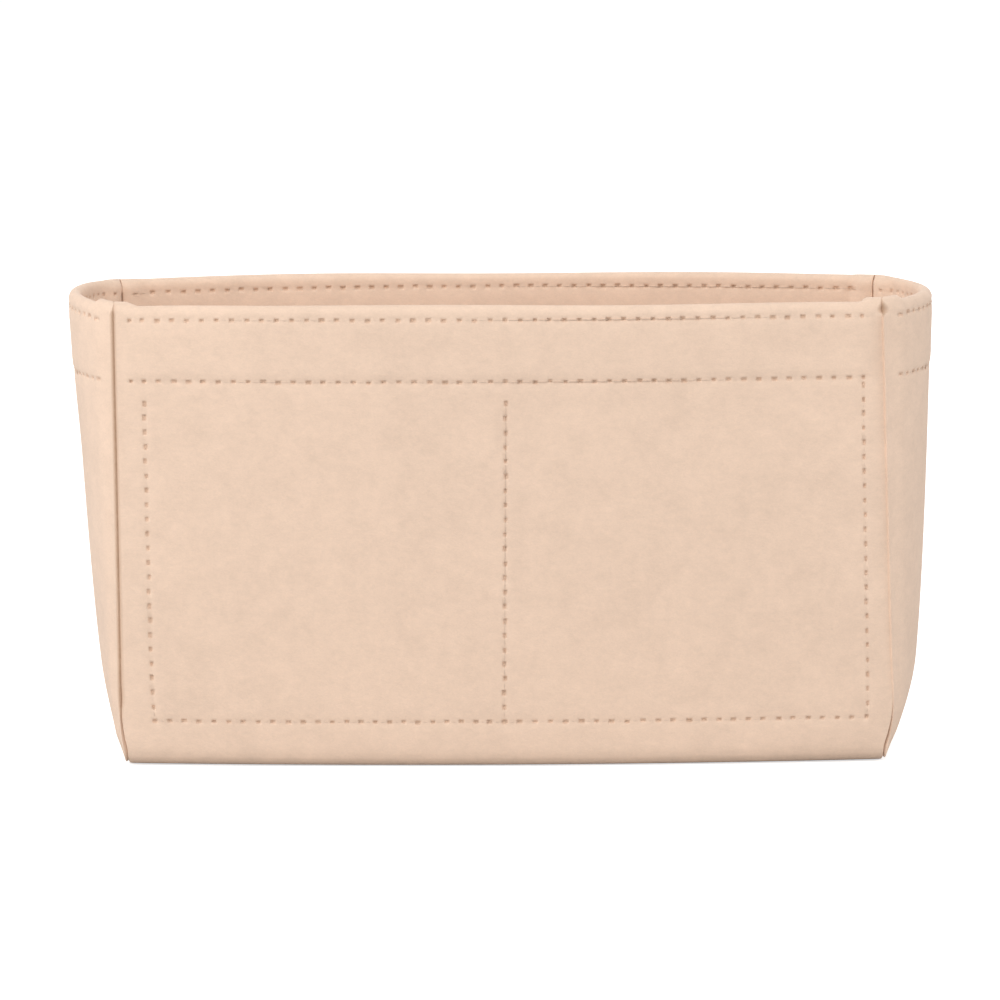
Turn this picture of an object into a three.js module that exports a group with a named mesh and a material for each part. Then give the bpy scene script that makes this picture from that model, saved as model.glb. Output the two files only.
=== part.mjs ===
// Purse organizer insert: an open-topped box of soft felt with turned corner seams,
// a folded and stitched rim, and a slip pocket sewn to the inside of each long wall.
// Millimetres. X runs along the width, Y from the front wall to the back wall, Z up.
// The origin lies on the table, under the middle of the box.

import * as THREE from 'three';

// Outside form of the box
const width = 220;
const height = 134;
const baseDepth = 80;
const rimDepth = 88;
const baseBow = 5.5;
const rimBow = 8.5;
const bendRadius = 8;
const basePull = 4;
const basePullHeight = 26;

// Felt, and how close its layers lie
const feltThickness = 2;
const layerGap = 0.3;
const seamGap = 0.4;
const seamAllowance = 3.2;

// Rim: the felt is folded inward and stitched twice
const hemDepth = 24;
const hemBlend = 12;
const cornerRise = 1.2;

// End gussets: how far they swell above the base and flare towards the rim
const gussetSwell = 2.8;
const gussetSwellRun = 18;
const gussetFlare = 6.9;
const gussetSpineFoot = 30;

// Slip pockets
const pocketMouthDrop = 28;
const pocketFootLift = 11.9;
const pocketMargin = 1.5;
const pocketEdgeGap = 0.5;
const pocketSidePlay = 2.6;
const pocketGape = 10;

// Sewing
const stitchPitch = 4.25;
const threadRadius = 0.35;
const threadClearance = 0.3;
const rimRowDrop = 4;
const hemRowDrop = 21.5;
const pocketRunOn = 5.5;
const dividerRowGap = 2.2;
const needleHoleShare = 0.45;

// Facet counts, and the distance under which two corners of facets are one
const turnSteps = 4;
const bendSteps = 4;
const threadSides = 3;
const compartmentSteps = 8;
const pocketRows = 6;
const wallRunSteps = 12;
const weldGrid = 0.002;

// Where the wall's rows of facets lie, as shares of the height
const wallRowShares = [0.83, 0.66, 0.44, 0.23, 0.13];
const stripPanelShares = [0.2, 0.45, 0.72, 1];
const gussetPanelShares = [0.33, 0.67, 1];
const baseRowShares = [0.5, 1];
const quarterWallShares = [0, 0.25, 0.5, 0.75, 1];
const quarterGussetShares = [0, 0.2, 0.4, 0.6, 0.8, 1];
const edgeProbeShare = 0.02;

// Worked out from the sizes above
const layerPitch = feltThickness + layerGap;
const turnRadius = layerPitch / 2;
const edgeRadius = turnRadius + feltThickness / 2;
const seamSpacing = 2 * edgeRadius + seamGap;
const seamZone = seamAllowance + layerGap;
const bendCentreHeight = bendRadius;
const bendMidRadius = bendRadius - feltThickness / 2;
const halfPanel = width / 2 - turnRadius;
const hemEdgeHeight = height - hemDepth;

const feltColour = 0xebcfb9;
const threadColour = 0xd8b598;

function mix(low, high, share) {
  return low + (high - low) * share;
}

function smoothShare(share) {
  const bounded = Math.min(Math.max(share, 0), 1);
  return bounded * bounded * (3 - 2 * bounded);
}

// Half the box's depth, to the middle of the wall's felt: the walls bow outward
// between the corners, and more at the rim than at the base.
function wallHalfDepth(x, z) {
  const lift = z / height;
  const middle = (mix(baseDepth, rimDepth, lift) - feltThickness) / 2;
  return middle - mix(baseBow, rimBow, lift) * (x / (width / 2)) ** 2;
}

// How far a gusset stands out beyond its seams at its middle line, at one height.
function gussetBulge(z) {
  const above = Math.max(z - bendRadius, 0);
  return gussetSwell * (1 - Math.exp(-above / gussetSwellRun)) + gussetFlare * (above / height);
}

// The rim's fold is wider over the corner seams, because it holds their allowances.
function cornerWeight(fromSeam) {
  return smoothShare(1 - (fromSeam - seamZone) / hemBlend);
}

function rimRadius(fromSeam) {
  return turnRadius + layerPitch * cornerWeight(fromSeam);
}

function rimCentreHeight(fromSeam) {
  const top = height + cornerRise * cornerWeight(fromSeam);
  return top - feltThickness / 2 - rimRadius(fromSeam);
}

// How far the base is drawn in at its two ends.
function basePullAt(z) {
  return basePull * Math.max(1 - z / basePullHeight, 0) ** 2;
}

// One edge of a felt panel: the allowance lies back on the panel behind a tight turn.
// along is the distance from the turn's centre, depth the distance behind the outer
// layer, and the two normals point out of the felt's outer face.
function turnedEdge() {
  const cutEdge = { along: seamAllowance - turnRadius, depth: layerPitch, normalAlong: 0, normalDepth: 1 };
  const stations = [cutEdge];
  for (let step = 0; step <= turnSteps; step += 1) {
    const angle = Math.PI * (1 - step / turnSteps);
    stations.push({
      along: -turnRadius * Math.sin(angle),
      depth: turnRadius * (1 - Math.cos(angle)),
      normalAlong: -Math.sin(angle),
      normalDepth: -Math.cos(angle),
    });
  }
  return stations;
}

// A panel from its turned edge to its middle line.
function panelStations(panelShares) {
  const blendStart = seamZone;
  const blendEnd = seamZone + hemBlend;
  const flat = { depth: 0, normalAlong: 0, normalDepth: -1 };
  const blend = [blendStart, (blendStart + blendEnd) / 2, blendEnd];
  return [
    ...turnedEdge(),
    ...blend.map((along) => ({ ...flat, along })),
    ...panelShares.map((share) => ({ ...flat, along: blendEnd, share })),
  ];
}

function stationAlong(station, panelLength) {
  const rest = station.share ? station.share * (panelLength - station.along) : 0;
  return station.along + rest;
}

// The felt's way from the hem's free edge over the rim, down the wall and under the
// base to its middle line. The back of the box is the same way in reverse.
function heightStations() {
  const rows = [{ kind: 'hem', height: hemEdgeHeight }];
  for (let step = turnSteps; step >= 0; step -= 1) {
    rows.push({ kind: 'fold', angle: (Math.PI * step) / turnSteps });
  }
  for (const share of wallRowShares) {
    rows.push({ kind: 'wall', height: height * share });
  }
  for (let step = 0; step <= bendSteps; step += 1) {
    rows.push({ kind: 'bend', angle: (Math.PI / 2) * (step / bendSteps) });
  }
  for (const share of baseRowShares) {
    rows.push({ kind: 'base', share });
  }
  return rows;
}

// A row's place on the front half of the strip, at one x: a point of the outer layer's
// middle, the inward normal there, and how far the row has gone over the rim (0 to 1).
function stripRow(row, x) {
  const fromSeam = width / 2 - Math.abs(x);
  const radius = rimRadius(fromSeam);
  if (row.kind === 'hem') {
    const y = -wallHalfDepth(x, row.height) + 2 * radius;
    return { y, z: row.height, normalY: -1, normalZ: 0, over: 1 };
  }
  if (row.kind === 'fold') {
    const centre = rimCentreHeight(fromSeam);
    const y = -wallHalfDepth(x, centre) + radius * (1 - Math.cos(row.angle));
    const z = centre + radius * Math.sin(row.angle);
    const over = (1 - Math.cos(row.angle)) / 2;
    return { y, z, normalY: Math.cos(row.angle), normalZ: -Math.sin(row.angle), over };
  }
  if (row.kind === 'wall') {
    return { y: -wallHalfDepth(x, row.height), z: row.height, normalY: 1, normalZ: 0, over: 0 };
  }
  const wall = -wallHalfDepth(x, bendCentreHeight);
  if (row.kind === 'bend') {
    const y = wall + bendMidRadius * (1 - Math.cos(row.angle));
    const z = bendCentreHeight - bendMidRadius * Math.sin(row.angle);
    return { y, z, normalY: Math.cos(row.angle), normalZ: Math.sin(row.angle), over: 0 };
  }
  const y = (wall + bendMidRadius) * (1 - row.share);
  return { y, z: bendCentreHeight - bendMidRadius, normalY: 0, normalZ: 1, over: 0 };
}

// Slope of a gusset's felt where it leaves the corner seam at the rim.
const rimHalfChord = wallHalfDepth(width / 2, height) - turnRadius;
const rimSlope = Math.atan((2 * gussetBulge(height)) / rimHalfChord);

// The layers folded inside the rim meet nearer the middle than the outer layers do.
const cornerSlide = (2 * layerPitch * (1 - Math.sin(rimSlope))) / Math.cos(rimSlope);

// What is left of an x where the base is pulled in, and in the layers inside the rim.
function drawnShare(z, over) {
  return 1 - (cornerSlide * over + basePullAt(z)) / (width / 2);
}

// A point of the strip, by its distance from the edge turn's centre and its depth
// behind the outer layer. side is -1 at the left seam and 1 at the right.
function stripPoint(side, row, along, depth) {
  const reach = halfPanel - along;
  const place = stripRow(row, reach);
  const y = place.y + place.normalY * depth;
  const z = place.z + place.normalZ * depth;
  return new THREE.Vector3(side * reach * drawnShare(place.z, place.over), y, z);
}

// The corner seam at one row: the centres of the strip's and the gusset's turned edges,
// in out (sideways out of the box), y and z.
function seamAt(row) {
  const place = stripRow(row, halfPanel);
  const stripEdge = stripPoint(1, row, 0, turnRadius);
  const spineHeight = Math.max(stripEdge.z, gussetSpineFoot);
  const spine = new THREE.Vector2(0, spineHeight);
  const reach = spine.distanceTo(new THREE.Vector2(stripEdge.y, stripEdge.z)) - turnRadius;
  const rise = gussetOut(0, spineHeight) - seamSpacing - stripEdge.x;
  const slope = Math.atan((2 * rise) / reach);
  const towards = new THREE.Vector2(1 + Math.sin(slope), Math.cos(slope)).normalize();
  const inward = new THREE.Vector3(0, place.normalY, place.normalZ);
  const across = inward.clone().multiplyScalar(towards.y).setX(towards.x);
  const gussetEdge = stripEdge.clone().addScaledVector(across, seamSpacing);
  const inside = inward.multiplyScalar(towards.x).setX(-towards.y);
  return { stripEdge, gussetEdge, inside, spine };
}

// How far out a gusset's felt lies at one y and height, between the corner seams.
function gussetOut(y, z) {
  const half = wallHalfDepth(width / 2, z) - turnRadius;
  return halfPanel + seamSpacing + gussetBulge(z) * (1 - (y / half) ** 2);
}

// The gusset's cross-section from a corner seam to the foot or the side of its middle
// line. It starts at the seam, whose place is off the gusset's own curve by a miss that
// fades along the section.
function gussetSection(seam) {
  const start = new THREE.Vector2(seam.gussetEdge.y, seam.gussetEdge.z);
  const length = seam.spine.distanceTo(start);
  const direction = seam.spine.clone().sub(start).normalize();
  const out = seam.gussetEdge.x;
  const section = { start, length, direction, out, miss: out - gussetOut(start.x, start.y) };
  const probe = length * edgeProbeShare;
  section.edgeSlope = (sectionOut(section, probe) - out) / probe;
  return section;
}

function sectionOut(section, along) {
  if (along <= 0) {
    return section.out + section.edgeSlope * along;
  }
  const y = section.start.x + section.direction.x * along;
  const z = section.start.y + section.direction.y * along;
  return gussetOut(y, z) + section.miss * (1 - along / section.length) ** 2;
}

// A point of a section, at a distance along it and lifted outward from its middle.
function sectionPoint(section, along, lift) {
  const left = 1 - Math.max(along / section.length, 0);
  const slope = Math.atan(section.edgeSlope * left);
  const inPlane = along - lift * Math.sin(slope);
  const out = sectionOut(section, along) + lift * Math.cos(slope);
  const y = section.start.x + section.direction.x * inPlane;
  const z = section.start.y + section.direction.y * inPlane;
  return new THREE.Vector3(out, y, z);
}

// A point of a gusset. Rows on the wall and over the rim have level sections; the rows
// round the base fan out to the foot of the middle line.
function gussetPoint(side, row, station, offset) {
  const depth = station.depth + station.normalDepth * offset;
  let base = row;
  if (row.kind === 'hem') {
    base = { kind: 'wall', height: row.height };
  }
  if (row.kind === 'fold') {
    base = { kind: 'wall', height: rimCentreHeight(0) };
  }
  const section = gussetSection(seamAt(base));
  const shift = station.normalAlong * offset;
  let along = stationAlong(station, section.length) + shift;
  const radius = rimRadius(along + turnRadius);
  let inward = depth;
  let z = null;
  let over = 0;
  if (row.kind === 'hem') {
    inward = 2 * radius - depth;
    over = 1;
  }
  if (row.kind === 'fold') {
    inward = radius - (radius - depth) * Math.cos(row.angle);
    z = rimCentreHeight(along + turnRadius) + (radius - depth) * Math.sin(row.angle);
    over = (1 - Math.cos(row.angle)) / 2;
  }
  along += cornerSlide * over * (1 - Math.max(along / section.length, 0));
  const point = sectionPoint(section, along, turnRadius - inward);
  return new THREE.Vector3(side * point.x, point.y, z ?? point.z);
}

// A closed mesh from points and triangles: points in one place become one, triangles
// that shrink to a line go, and the faces are turned to point outward.
function closedMesh(name, points, triangles, material) {
  const places = new Map();
  const positions = [];
  const merged = points.map((point) => {
    const key = point.toArray().map((value) => (value / weldGrid).toFixed(0)).join(' ');
    if (!places.has(key)) {
      places.set(key, places.size);
      positions.push(...point.toArray());
    }
    return places.get(key);
  });
  let faces = triangles.map((face) => face.map((corner) => merged[corner]));
  faces = faces.filter(([a, b, c]) => a !== b && b !== c && c !== a);
  const corner = (index) => new THREE.Vector3().fromArray(positions, 3 * index);
  let volume = 0;
  for (const [a, b, c] of faces) {
    volume += corner(a).dot(corner(b).cross(corner(c)));
  }
  if (volume < 0) {
    faces = faces.map(([a, b, c]) => [a, c, b]);
  }
  const geometry = new THREE.BufferGeometry();
  geometry.setAttribute('position', new THREE.Float32BufferAttribute(positions, 3));
  geometry.setIndex(faces.flat());
  geometry.computeVertexNormals();
  const mesh = new THREE.Mesh(geometry, material);
  mesh.name = name;
  return mesh;
}

// A sheet of felt from rows and columns of stations. pointAt gives a point of its outer
// or inner face. The first column is a cut edge of the felt, and so may the last be.
function feltSheet(name, rowCount, columnCount, pointAt, lastIsCut) {
  const points = [];
  const index = (row, column, face) => 2 * (row * columnCount + column) + face;
  for (let row = 0; row < rowCount; row += 1) {
    for (let column = 0; column < columnCount; column += 1) {
      points.push(pointAt(row, column, feltThickness / 2));
      points.push(pointAt(row, column, -feltThickness / 2));
    }
  }
  const triangles = [];
  const quad = (a, b, c, d) => triangles.push([a, b, c], [a, c, d]);
  for (let row = 0; row + 1 < rowCount; row += 1) {
    for (let column = 0; column + 1 < columnCount; column += 1) {
      const corners = [[row, column], [row, column + 1], [row + 1, column + 1], [row + 1, column]];
      quad(...corners.map(([r, c]) => index(r, c, 0)));
      quad(...corners.map(([r, c]) => index(r, c, 1)).reverse());
    }
  }
  const wall = (fromCell, toCell) => {
    quad(index(...fromCell, 1), index(...toCell, 1), index(...toCell, 0), index(...fromCell, 0));
  };
  const lastRow = rowCount - 1;
  const lastColumn = columnCount - 1;
  for (let column = 0; column < lastColumn; column += 1) {
    wall([0, column], [0, column + 1]);
    wall([lastRow, column + 1], [lastRow, column]);
  }
  for (let row = 0; row < lastRow; row += 1) {
    wall([row + 1, 0], [row, 0]);
    if (lastIsCut) {
      wall([row, lastColumn], [row + 1, lastColumn]);
    }
  }
  return closedMesh(name, points, triangles, felt);
}

// The rows of the whole box: the front half, then the same rows back to the other hem.
function wholeRows() {
  const front = heightStations().map((row) => ({ row, back: 1 }));
  const back = front.slice(0, -1).reverse().map(({ row }) => ({ row, back: -1 }));
  return [...front, ...back];
}

const felt = new THREE.MeshStandardMaterial({ color: feltColour, roughness: 0.95, metalness: 0 });
const thread = new THREE.MeshStandardMaterial({ color: threadColour, roughness: 0.7, metalness: 0 });

// One strip of felt makes the front wall, the base and the back wall.
function bodyStrip() {
  const rows = wholeRows();
  const half = panelStations(stripPanelShares);
  const left = half.map((station) => ({ station, side: -1 }));
  const right = half.slice(0, -1).reverse().map((station) => ({ station, side: 1 }));
  const columns = [...left, ...right];
  const pointAt = (rowIndex, columnIndex, offset) => {
    const { row, back } = rows[rowIndex];
    const { station, side } = columns[columnIndex];
    const along = stationAlong(station, halfPanel) + station.normalAlong * offset;
    const point = stripPoint(side, row, along, station.depth + station.normalDepth * offset);
    return new THREE.Vector3(point.x, point.y * back, point.z);
  };
  return feltSheet('body_strip', rows.length, columns.length, pointAt, true);
}

function gusset(name, side) {
  const rows = wholeRows();
  const columns = panelStations(gussetPanelShares);
  const pointAt = (rowIndex, columnIndex, offset) => {
    const { row, back } = rows[rowIndex];
    const point = gussetPoint(side, row, columns[columnIndex], offset);
    return new THREE.Vector3(point.x, point.y * back, point.z);
  };
  return feltSheet(name, rows.length, columns.length, pointAt, false);
}

// Where a pocket's rows of stitches and edges lie, on the front wall.
const pocketRightEdge = width / 2 - seamAllowance - pocketEdgeGap;
const pocketLeftEdge = pocketSidePlay - pocketRightEdge;
const pocketRightRow = pocketRightEdge - pocketMargin;
const pocketLeftRow = pocketLeftEdge + pocketMargin;
const pocketDividerRow = (pocketLeftRow + pocketRightRow) / 2;
const pocketTop = height - pocketMouthDrop;
const pocketFootRow = pocketFootLift + pocketMargin;

// A pocket stands off the wall between its rows of stitches, and most at its mouth.
function pocketStandOff(x, z) {
  const start = x < pocketDividerRow ? pocketLeftRow : pocketDividerRow;
  const end = x < pocketDividerRow ? pocketDividerRow : pocketRightRow;
  const across = (x - start) / (end - start);
  if (across <= 0 || across >= 1 || z <= pocketFootRow) {
    return 0;
  }
  const rise = Math.sin((Math.PI / 2) * ((z - pocketFootRow) / (pocketTop - pocketFootRow)));
  return pocketGape * rise * (1 - (2 * across - 1) ** 4);
}

// turned is 1 on the front wall, and -1 on the back wall, which is the front turned round.
function pocket(name, turned) {
  const columns = [pocketLeftEdge];
  for (const [start, end] of [[pocketLeftRow, pocketDividerRow], [pocketDividerRow, pocketRightRow]]) {
    for (let step = 0; step < compartmentSteps; step += 1) {
      const share = (1 - Math.cos((Math.PI * step) / compartmentSteps)) / 2;
      columns.push(mix(start, end, share));
    }
  }
  columns.push(pocketRightRow, pocketRightEdge);
  const rows = [pocketFootLift];
  for (let step = 0; step <= pocketRows; step += 1) {
    rows.push(mix(pocketFootRow, pocketTop, step / pocketRows));
  }
  const pointAt = (rowIndex, columnIndex, offset) => {
    const x = columns[columnIndex];
    const z = rows[rowIndex];
    const y = -wallHalfDepth(x, z) + layerPitch + pocketStandOff(x, z) - offset;
    return new THREE.Vector3(x * drawnShare(z, 0) * turned, y * turned, z);
  };
  return feltSheet(name, rows.length, columns.length, pointAt, true);
}

// Points at even steps along a line of points on the felt's face, each with its normal.
function evenSteps(line, stepCount) {
  const reach = [0];
  for (let index = 1; index < line.length; index += 1) {
    reach.push(reach[index - 1] + line[index].point.distanceTo(line[index - 1].point));
  }
  const total = reach[reach.length - 1];
  const steps = [];
  for (let step = 0; step <= stepCount; step += 1) {
    const wanted = (total * step) / stepCount;
    let segment = 1;
    while (segment < line.length - 1 && reach[segment] < wanted) {
      segment += 1;
    }
    const share = (wanted - reach[segment - 1]) / (reach[segment] - reach[segment - 1]);
    const before = line[segment - 1];
    const after = line[segment];
    const point = before.point.clone().lerp(after.point, share);
    const normal = before.normal.clone().lerp(after.normal, share).normalize();
    steps.push({ point, normal });
  }
  return steps;
}

function lineLength(line) {
  let total = 0;
  for (let index = 1; index < line.length; index += 1) {
    total += line[index].point.distanceTo(line[index - 1].point);
  }
  return total;
}

// Half-stitch steps along one straight run of stitches.
function stitchSteps(line) {
  return evenSteps(line, 2 * Math.max(Math.round(lineLength(line) / stitchPitch), 1));
}

// A tube of thread through rings, each with a centre, a normal and a radius.
function threadTube(name, rings, isLoop) {
  const points = [];
  const triangles = [];
  const count = rings.length;
  for (let index = 0; index < count; index += 1) {
    const before = isLoop ? rings[(index + count - 1) % count] : rings[Math.max(index - 1, 0)];
    const after = isLoop ? rings[(index + 1) % count] : rings[Math.min(index + 1, count - 1)];
    const { centre, normal, radius } = rings[index];
    const sideways = after.centre.clone().sub(before.centre).cross(normal).normalize();
    for (let corner = 0; corner < threadSides; corner += 1) {
      const angle = (2 * Math.PI * corner) / threadSides;
      const place = centre.clone().addScaledVector(normal, radius * Math.cos(angle));
      points.push(place.addScaledVector(sideways, radius * Math.sin(angle)));
    }
  }
  const lengths = isLoop ? count : count - 1;
  for (let index = 0; index < lengths; index += 1) {
    const next = (index + 1) % count;
    for (let corner = 0; corner < threadSides; corner += 1) {
      const turn = (corner + 1) % threadSides;
      const [a, b] = [index * threadSides + corner, index * threadSides + turn];
      const [c, d] = [next * threadSides + turn, next * threadSides + corner];
      triangles.push([a, b, c], [a, c, d]);
    }
  }
  if (!isLoop) {
    const last = (count - 1) * threadSides;
    for (let corner = 1; corner + 1 < threadSides; corner += 1) {
      triangles.push([0, corner + 1, corner], [last, last + corner, last + corner + 1]);
    }
  }
  return closedMesh(name, points, triangles, thread);
}

// A sewn thread: it is thick in the middle of each stitch and thin where it dives into
// the felt. steps alternate between needle holes and stitch middles.
function sewnThread(name, steps, isLoop) {
  const rings = steps.map(({ point, normal }, index) => {
    const radius = threadRadius * (index % 2 === 0 ? needleHoleShare : 1);
    const centre = point.clone().addScaledVector(normal, threadClearance + radius / 2);
    return { centre, normal, radius };
  });
  return threadTube(name, rings, isLoop);
}

// The line round the outside of the box at one height, from the middle of the front
// wall to the right, back and round. faceOffset is measured from the felt's middle.
function quarterLine(z) {
  const outside = feltThickness / 2;
  const line = [];
  for (const share of quarterWallShares) {
    const x = halfPanel * share;
    const slope = (2 * mix(baseBow, rimBow, z / height) * x) / (width / 2) ** 2;
    const normal = new THREE.Vector3(slope, -1, 0).normalize();
    const point = new THREE.Vector3(x, -wallHalfDepth(x, z), z).addScaledVector(normal, outside);
    line.push({ point, normal });
  }
  const seam = seamAt({ kind: 'wall', height: z });
  const outward = seam.inside.clone().negate();
  for (const edge of [seam.stripEdge, seam.gussetEdge]) {
    line.push({ point: edge.clone().addScaledVector(outward, edgeRadius), normal: outward });
  }
  const section = gussetSection(seam);
  for (const share of quarterGussetShares) {
    const along = share * section.length;
    const point = sectionPoint(section, along, edgeRadius);
    const normal = point.clone().sub(sectionPoint(section, along, 0)).normalize();
    line.push({ point, normal });
  }
  return line;
}

function mirrored(line, x, y) {
  const flip = new THREE.Vector3(x, y, 1);
  return line.map(({ point, normal }) => ({
    point: point.clone().multiply(flip),
    normal: normal.clone().multiply(flip),
  }));
}

function rimThread(name, drop) {
  const quarter = quarterLine(height - drop);
  const loop = [
    ...quarter,
    ...mirrored(quarter, 1, -1).reverse().slice(1),
    ...mirrored(quarter, -1, -1).slice(1),
    ...mirrored(quarter, -1, 1).reverse().slice(1),
  ];
  const steps = stitchSteps(loop);
  return sewnThread(name, steps.slice(0, -1), true);
}

// A straight run of stitches on the outside of the front wall.
function wallRun(start, end) {
  const line = [];
  for (let step = 0; step <= wallRunSteps; step += 1) {
    const x = mix(start[0], end[0], step / wallRunSteps);
    const z = mix(start[1], end[1], step / wallRunSteps);
    const y = -wallHalfDepth(x, z) - feltThickness / 2;
    const point = new THREE.Vector3(x * drawnShare(z, 0), y, z);
    line.push({ point, normal: new THREE.Vector3(0, -1, 0) });
  }
  return stitchSteps(line);
}

// The rows round a pocket: down its left side, along its foot and up its right side,
// where the stitches run on above the pocket's mouth.
function pocketThread(name, turned) {
  const corners = [
    [pocketLeftRow, pocketTop],
    [pocketLeftRow, pocketFootRow],
    [pocketRightRow, pocketFootRow],
    [pocketRightRow, pocketTop + pocketRunOn],
  ];
  const steps = [
    ...wallRun(corners[0], corners[1]),
    ...wallRun(corners[1], corners[2]).slice(1),
    ...wallRun(corners[2], corners[3]).slice(1),
  ];
  return sewnThread(name, mirrored(steps, turned, turned), false);
}

function dividerThread(name, turned) {
  const steps = wallRun([pocketDividerRow, pocketTop], [pocketDividerRow, pocketFootRow + dividerRowGap]);
  return sewnThread(name, mirrored(steps, turned, turned), false);
}

// The thread that closes a corner seam runs just inside the two turned edges, from the
// front of the rim under the gusset to the back of the rim.
function seamThread(name, side) {
  const centreDistance = edgeRadius + threadClearance + threadRadius;
  const inset = Math.sqrt(centreDistance ** 2 - (seamSpacing / 2) ** 2);
  const rings = [];
  for (const { row, back } of wholeRows()) {
    const isTop = row.kind === 'fold' && row.angle === 0;
    if (isTop || ['wall', 'bend', 'base'].includes(row.kind)) {
      const seam = seamAt(isTop ? { kind: 'wall', height: rimCentreHeight(0) } : row);
      const centre = seam.stripEdge.clone().lerp(seam.gussetEdge, 1 / 2);
      centre.addScaledVector(seam.inside, inset);
      const flip = new THREE.Vector3(side, back, 1);
      const normal = seam.inside.clone().multiply(flip);
      rings.push({ centre: centre.multiply(flip), normal, radius: threadRadius });
    }
  }
  return threadTube(name, rings, false);
}

const organizer = new THREE.Group();
organizer.add(
  bodyStrip(),
  gusset('gusset_left', -1),
  gusset('gusset_right', 1),
  pocket('front_pocket', 1),
  pocket('back_pocket', -1),
  rimThread('rim_thread', rimRowDrop),
  rimThread('hem_thread', hemRowDrop),
  pocketThread('front_pocket_thread', 1),
  dividerThread('front_divider_thread', 1),
  pocketThread('back_pocket_thread', -1),
  dividerThread('back_divider_thread', -1),
  seamThread('seam_thread_left', -1),
  seamThread('seam_thread_right', 1),
);

export default organizer;
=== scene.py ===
"""Looks of a felt purse organizer insert: panels, sewn rows, camera, light and floor."""

import math
from functools import partial
from types import SimpleNamespace

import bpy
import numpy as np
from bpy.props import FloatProperty, FloatVectorProperty, IntProperty, PointerProperty
from mathutils import Matrix, Vector


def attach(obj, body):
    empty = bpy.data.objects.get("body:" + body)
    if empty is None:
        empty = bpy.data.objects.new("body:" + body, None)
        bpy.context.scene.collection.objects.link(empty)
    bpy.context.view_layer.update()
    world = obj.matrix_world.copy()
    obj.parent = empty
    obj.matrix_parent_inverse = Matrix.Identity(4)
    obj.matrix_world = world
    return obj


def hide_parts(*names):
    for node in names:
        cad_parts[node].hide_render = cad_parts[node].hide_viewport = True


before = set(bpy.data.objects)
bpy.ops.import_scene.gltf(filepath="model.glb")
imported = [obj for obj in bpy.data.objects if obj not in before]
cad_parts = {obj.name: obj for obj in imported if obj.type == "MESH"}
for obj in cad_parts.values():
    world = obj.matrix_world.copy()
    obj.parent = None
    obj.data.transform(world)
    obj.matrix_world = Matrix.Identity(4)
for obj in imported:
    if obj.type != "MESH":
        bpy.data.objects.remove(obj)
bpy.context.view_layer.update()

bl_info = {
    "name": "Purse organizer insert",
    "version": (1, 0, 0),
    "blender": (4, 5, 0),
    "location": "3D View > Sidebar > Organizer",
    "description": "Makes a felt organizer insert with turned seams and sewn rows",
    "category": "Add Mesh",
}

MM = 0.001
TURN = 2 * math.pi

# Rows are counted along the felt's way from the hem's free edge at 0 to the middle line
# of the base at 5, in legs of length one: hem, fold over the rim, wall, bend and base.
# These are where the legs start. The back half is the same way counted on from 5 to 10.
FOLD, WALL, BEND, BASE, MIDDLE, WHOLE = 1, 2, 3, 4, 5, 10
# The two faces of a sheet of felt
OUTER, INNER = 0, 1

# The numbers down to the next blank line are in millimetres unless their comment says
# otherwise. A pair is a start and the run over which a change then sets in.
# The inner corners of the rim: how deep inside, how far across and how high
INNER_DEEP, INNER_ACROSS, INNER_UP = (0, 7), (86, 18), (96, 16)
# The front seams that are drawn inward: the share at the wall's face, the depth over
# which one share is lost, how far across and how high
DRAWN_SHARE, DRAWN_DEPTH, DRAWN_ACROSS, DRAWN_UP = 1.2, 5, (102.5, 8), (0, 6)
# The back rim that stands to the left: how far back and how high
SHIFTED_BACK, SHIFTED_UP = (-10, 40), (80, 40)
# Heights below which the corners and the gussets' feet are drawn in
RIGHT_TUCK_HEIGHT, LEFT_TUCK_HEIGHT, FOOT_TUCK_HEIGHT = 16, 9, 14
# The ends' swells: height over which the right one sets in, and how far below the rim's
# own rise the left one does
RIGHT_SWELL_RUN, LEFT_SWELL_DROP = 22, 25
# Where the seams shut: over this height inside the rim and at the foot, and how many
# times faster than one leg of the way over the fold
HEM_SHUT_RUN, FOOT_SHUT_RUN, CREST_STEEPNESS = 1.5, 12, 2.5
# The notch lies this far below the fold, and shut edges lie this far into each other
NOTCH_DROP, SEAM_OVERLAP = 0.2, 0.03
# Where a seam's painted shade sets in and the depth past which it is weaker, as shares of the
# turn's radius; how much of it is left there; and how much is lost where a seam is shut
SHADE_DEEP, SHADE_INSIDE, INSIDE_SHARE, SHUT_LOSS = (0.3, 0.7), 1.4, 0.5, 0.9
# Points of the felt turned in, as shares of its length, and how close together the two
# faces lie at a cut edge
LAIN_SHARES = np.array([1.0, 0.92, 0.5])
CUT_EDGE_SHARE = 0.62
# Half the width of a sewn row, how far the grid's lines stay off a panel's edge and off
# the ends of a leg, and more lines across at the ends of the front bumps
ROW_HALF, EDGE_MARGIN, BEND_MARGIN = 0.42, 0.3, 0.5
BUMP_LINES = [-104.4, 102.7, 106.9]
# A sewn row's groove: its depth and width, then the height, place and width of the
# swell beside it; its share on a panel's inner face and on a pocket's; and how much
# painted shade it gets for each millimetre of depth
GROOVE_DEPTH, GROOVE_WIDTH = 0.10, 1.0
SWELL_HEIGHT, SWELL_PLACE, SWELL_WIDTH = 0.07, 2.3, 1.3
INNER_RELIEF_SHARE, POCKET_RELIEF_SHARE, GROOVE_SHADE = 0.5, 0.8, 0.5
# The band above the hem row: how far it stands out, and how that begins and ends
BAND_RISE, BAND_FOOT, BAND_TOP = 0.3, (-0.6, 2.4), (0, 8)
# How far the grooves run on past the ends of the pocket's rows, at its mouth and above;
# the holes in the pocket itself end as far below the mouth
ROW_END, MOUTH_END, RUN_ON_END = 0.5, 2, 1.5
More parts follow.
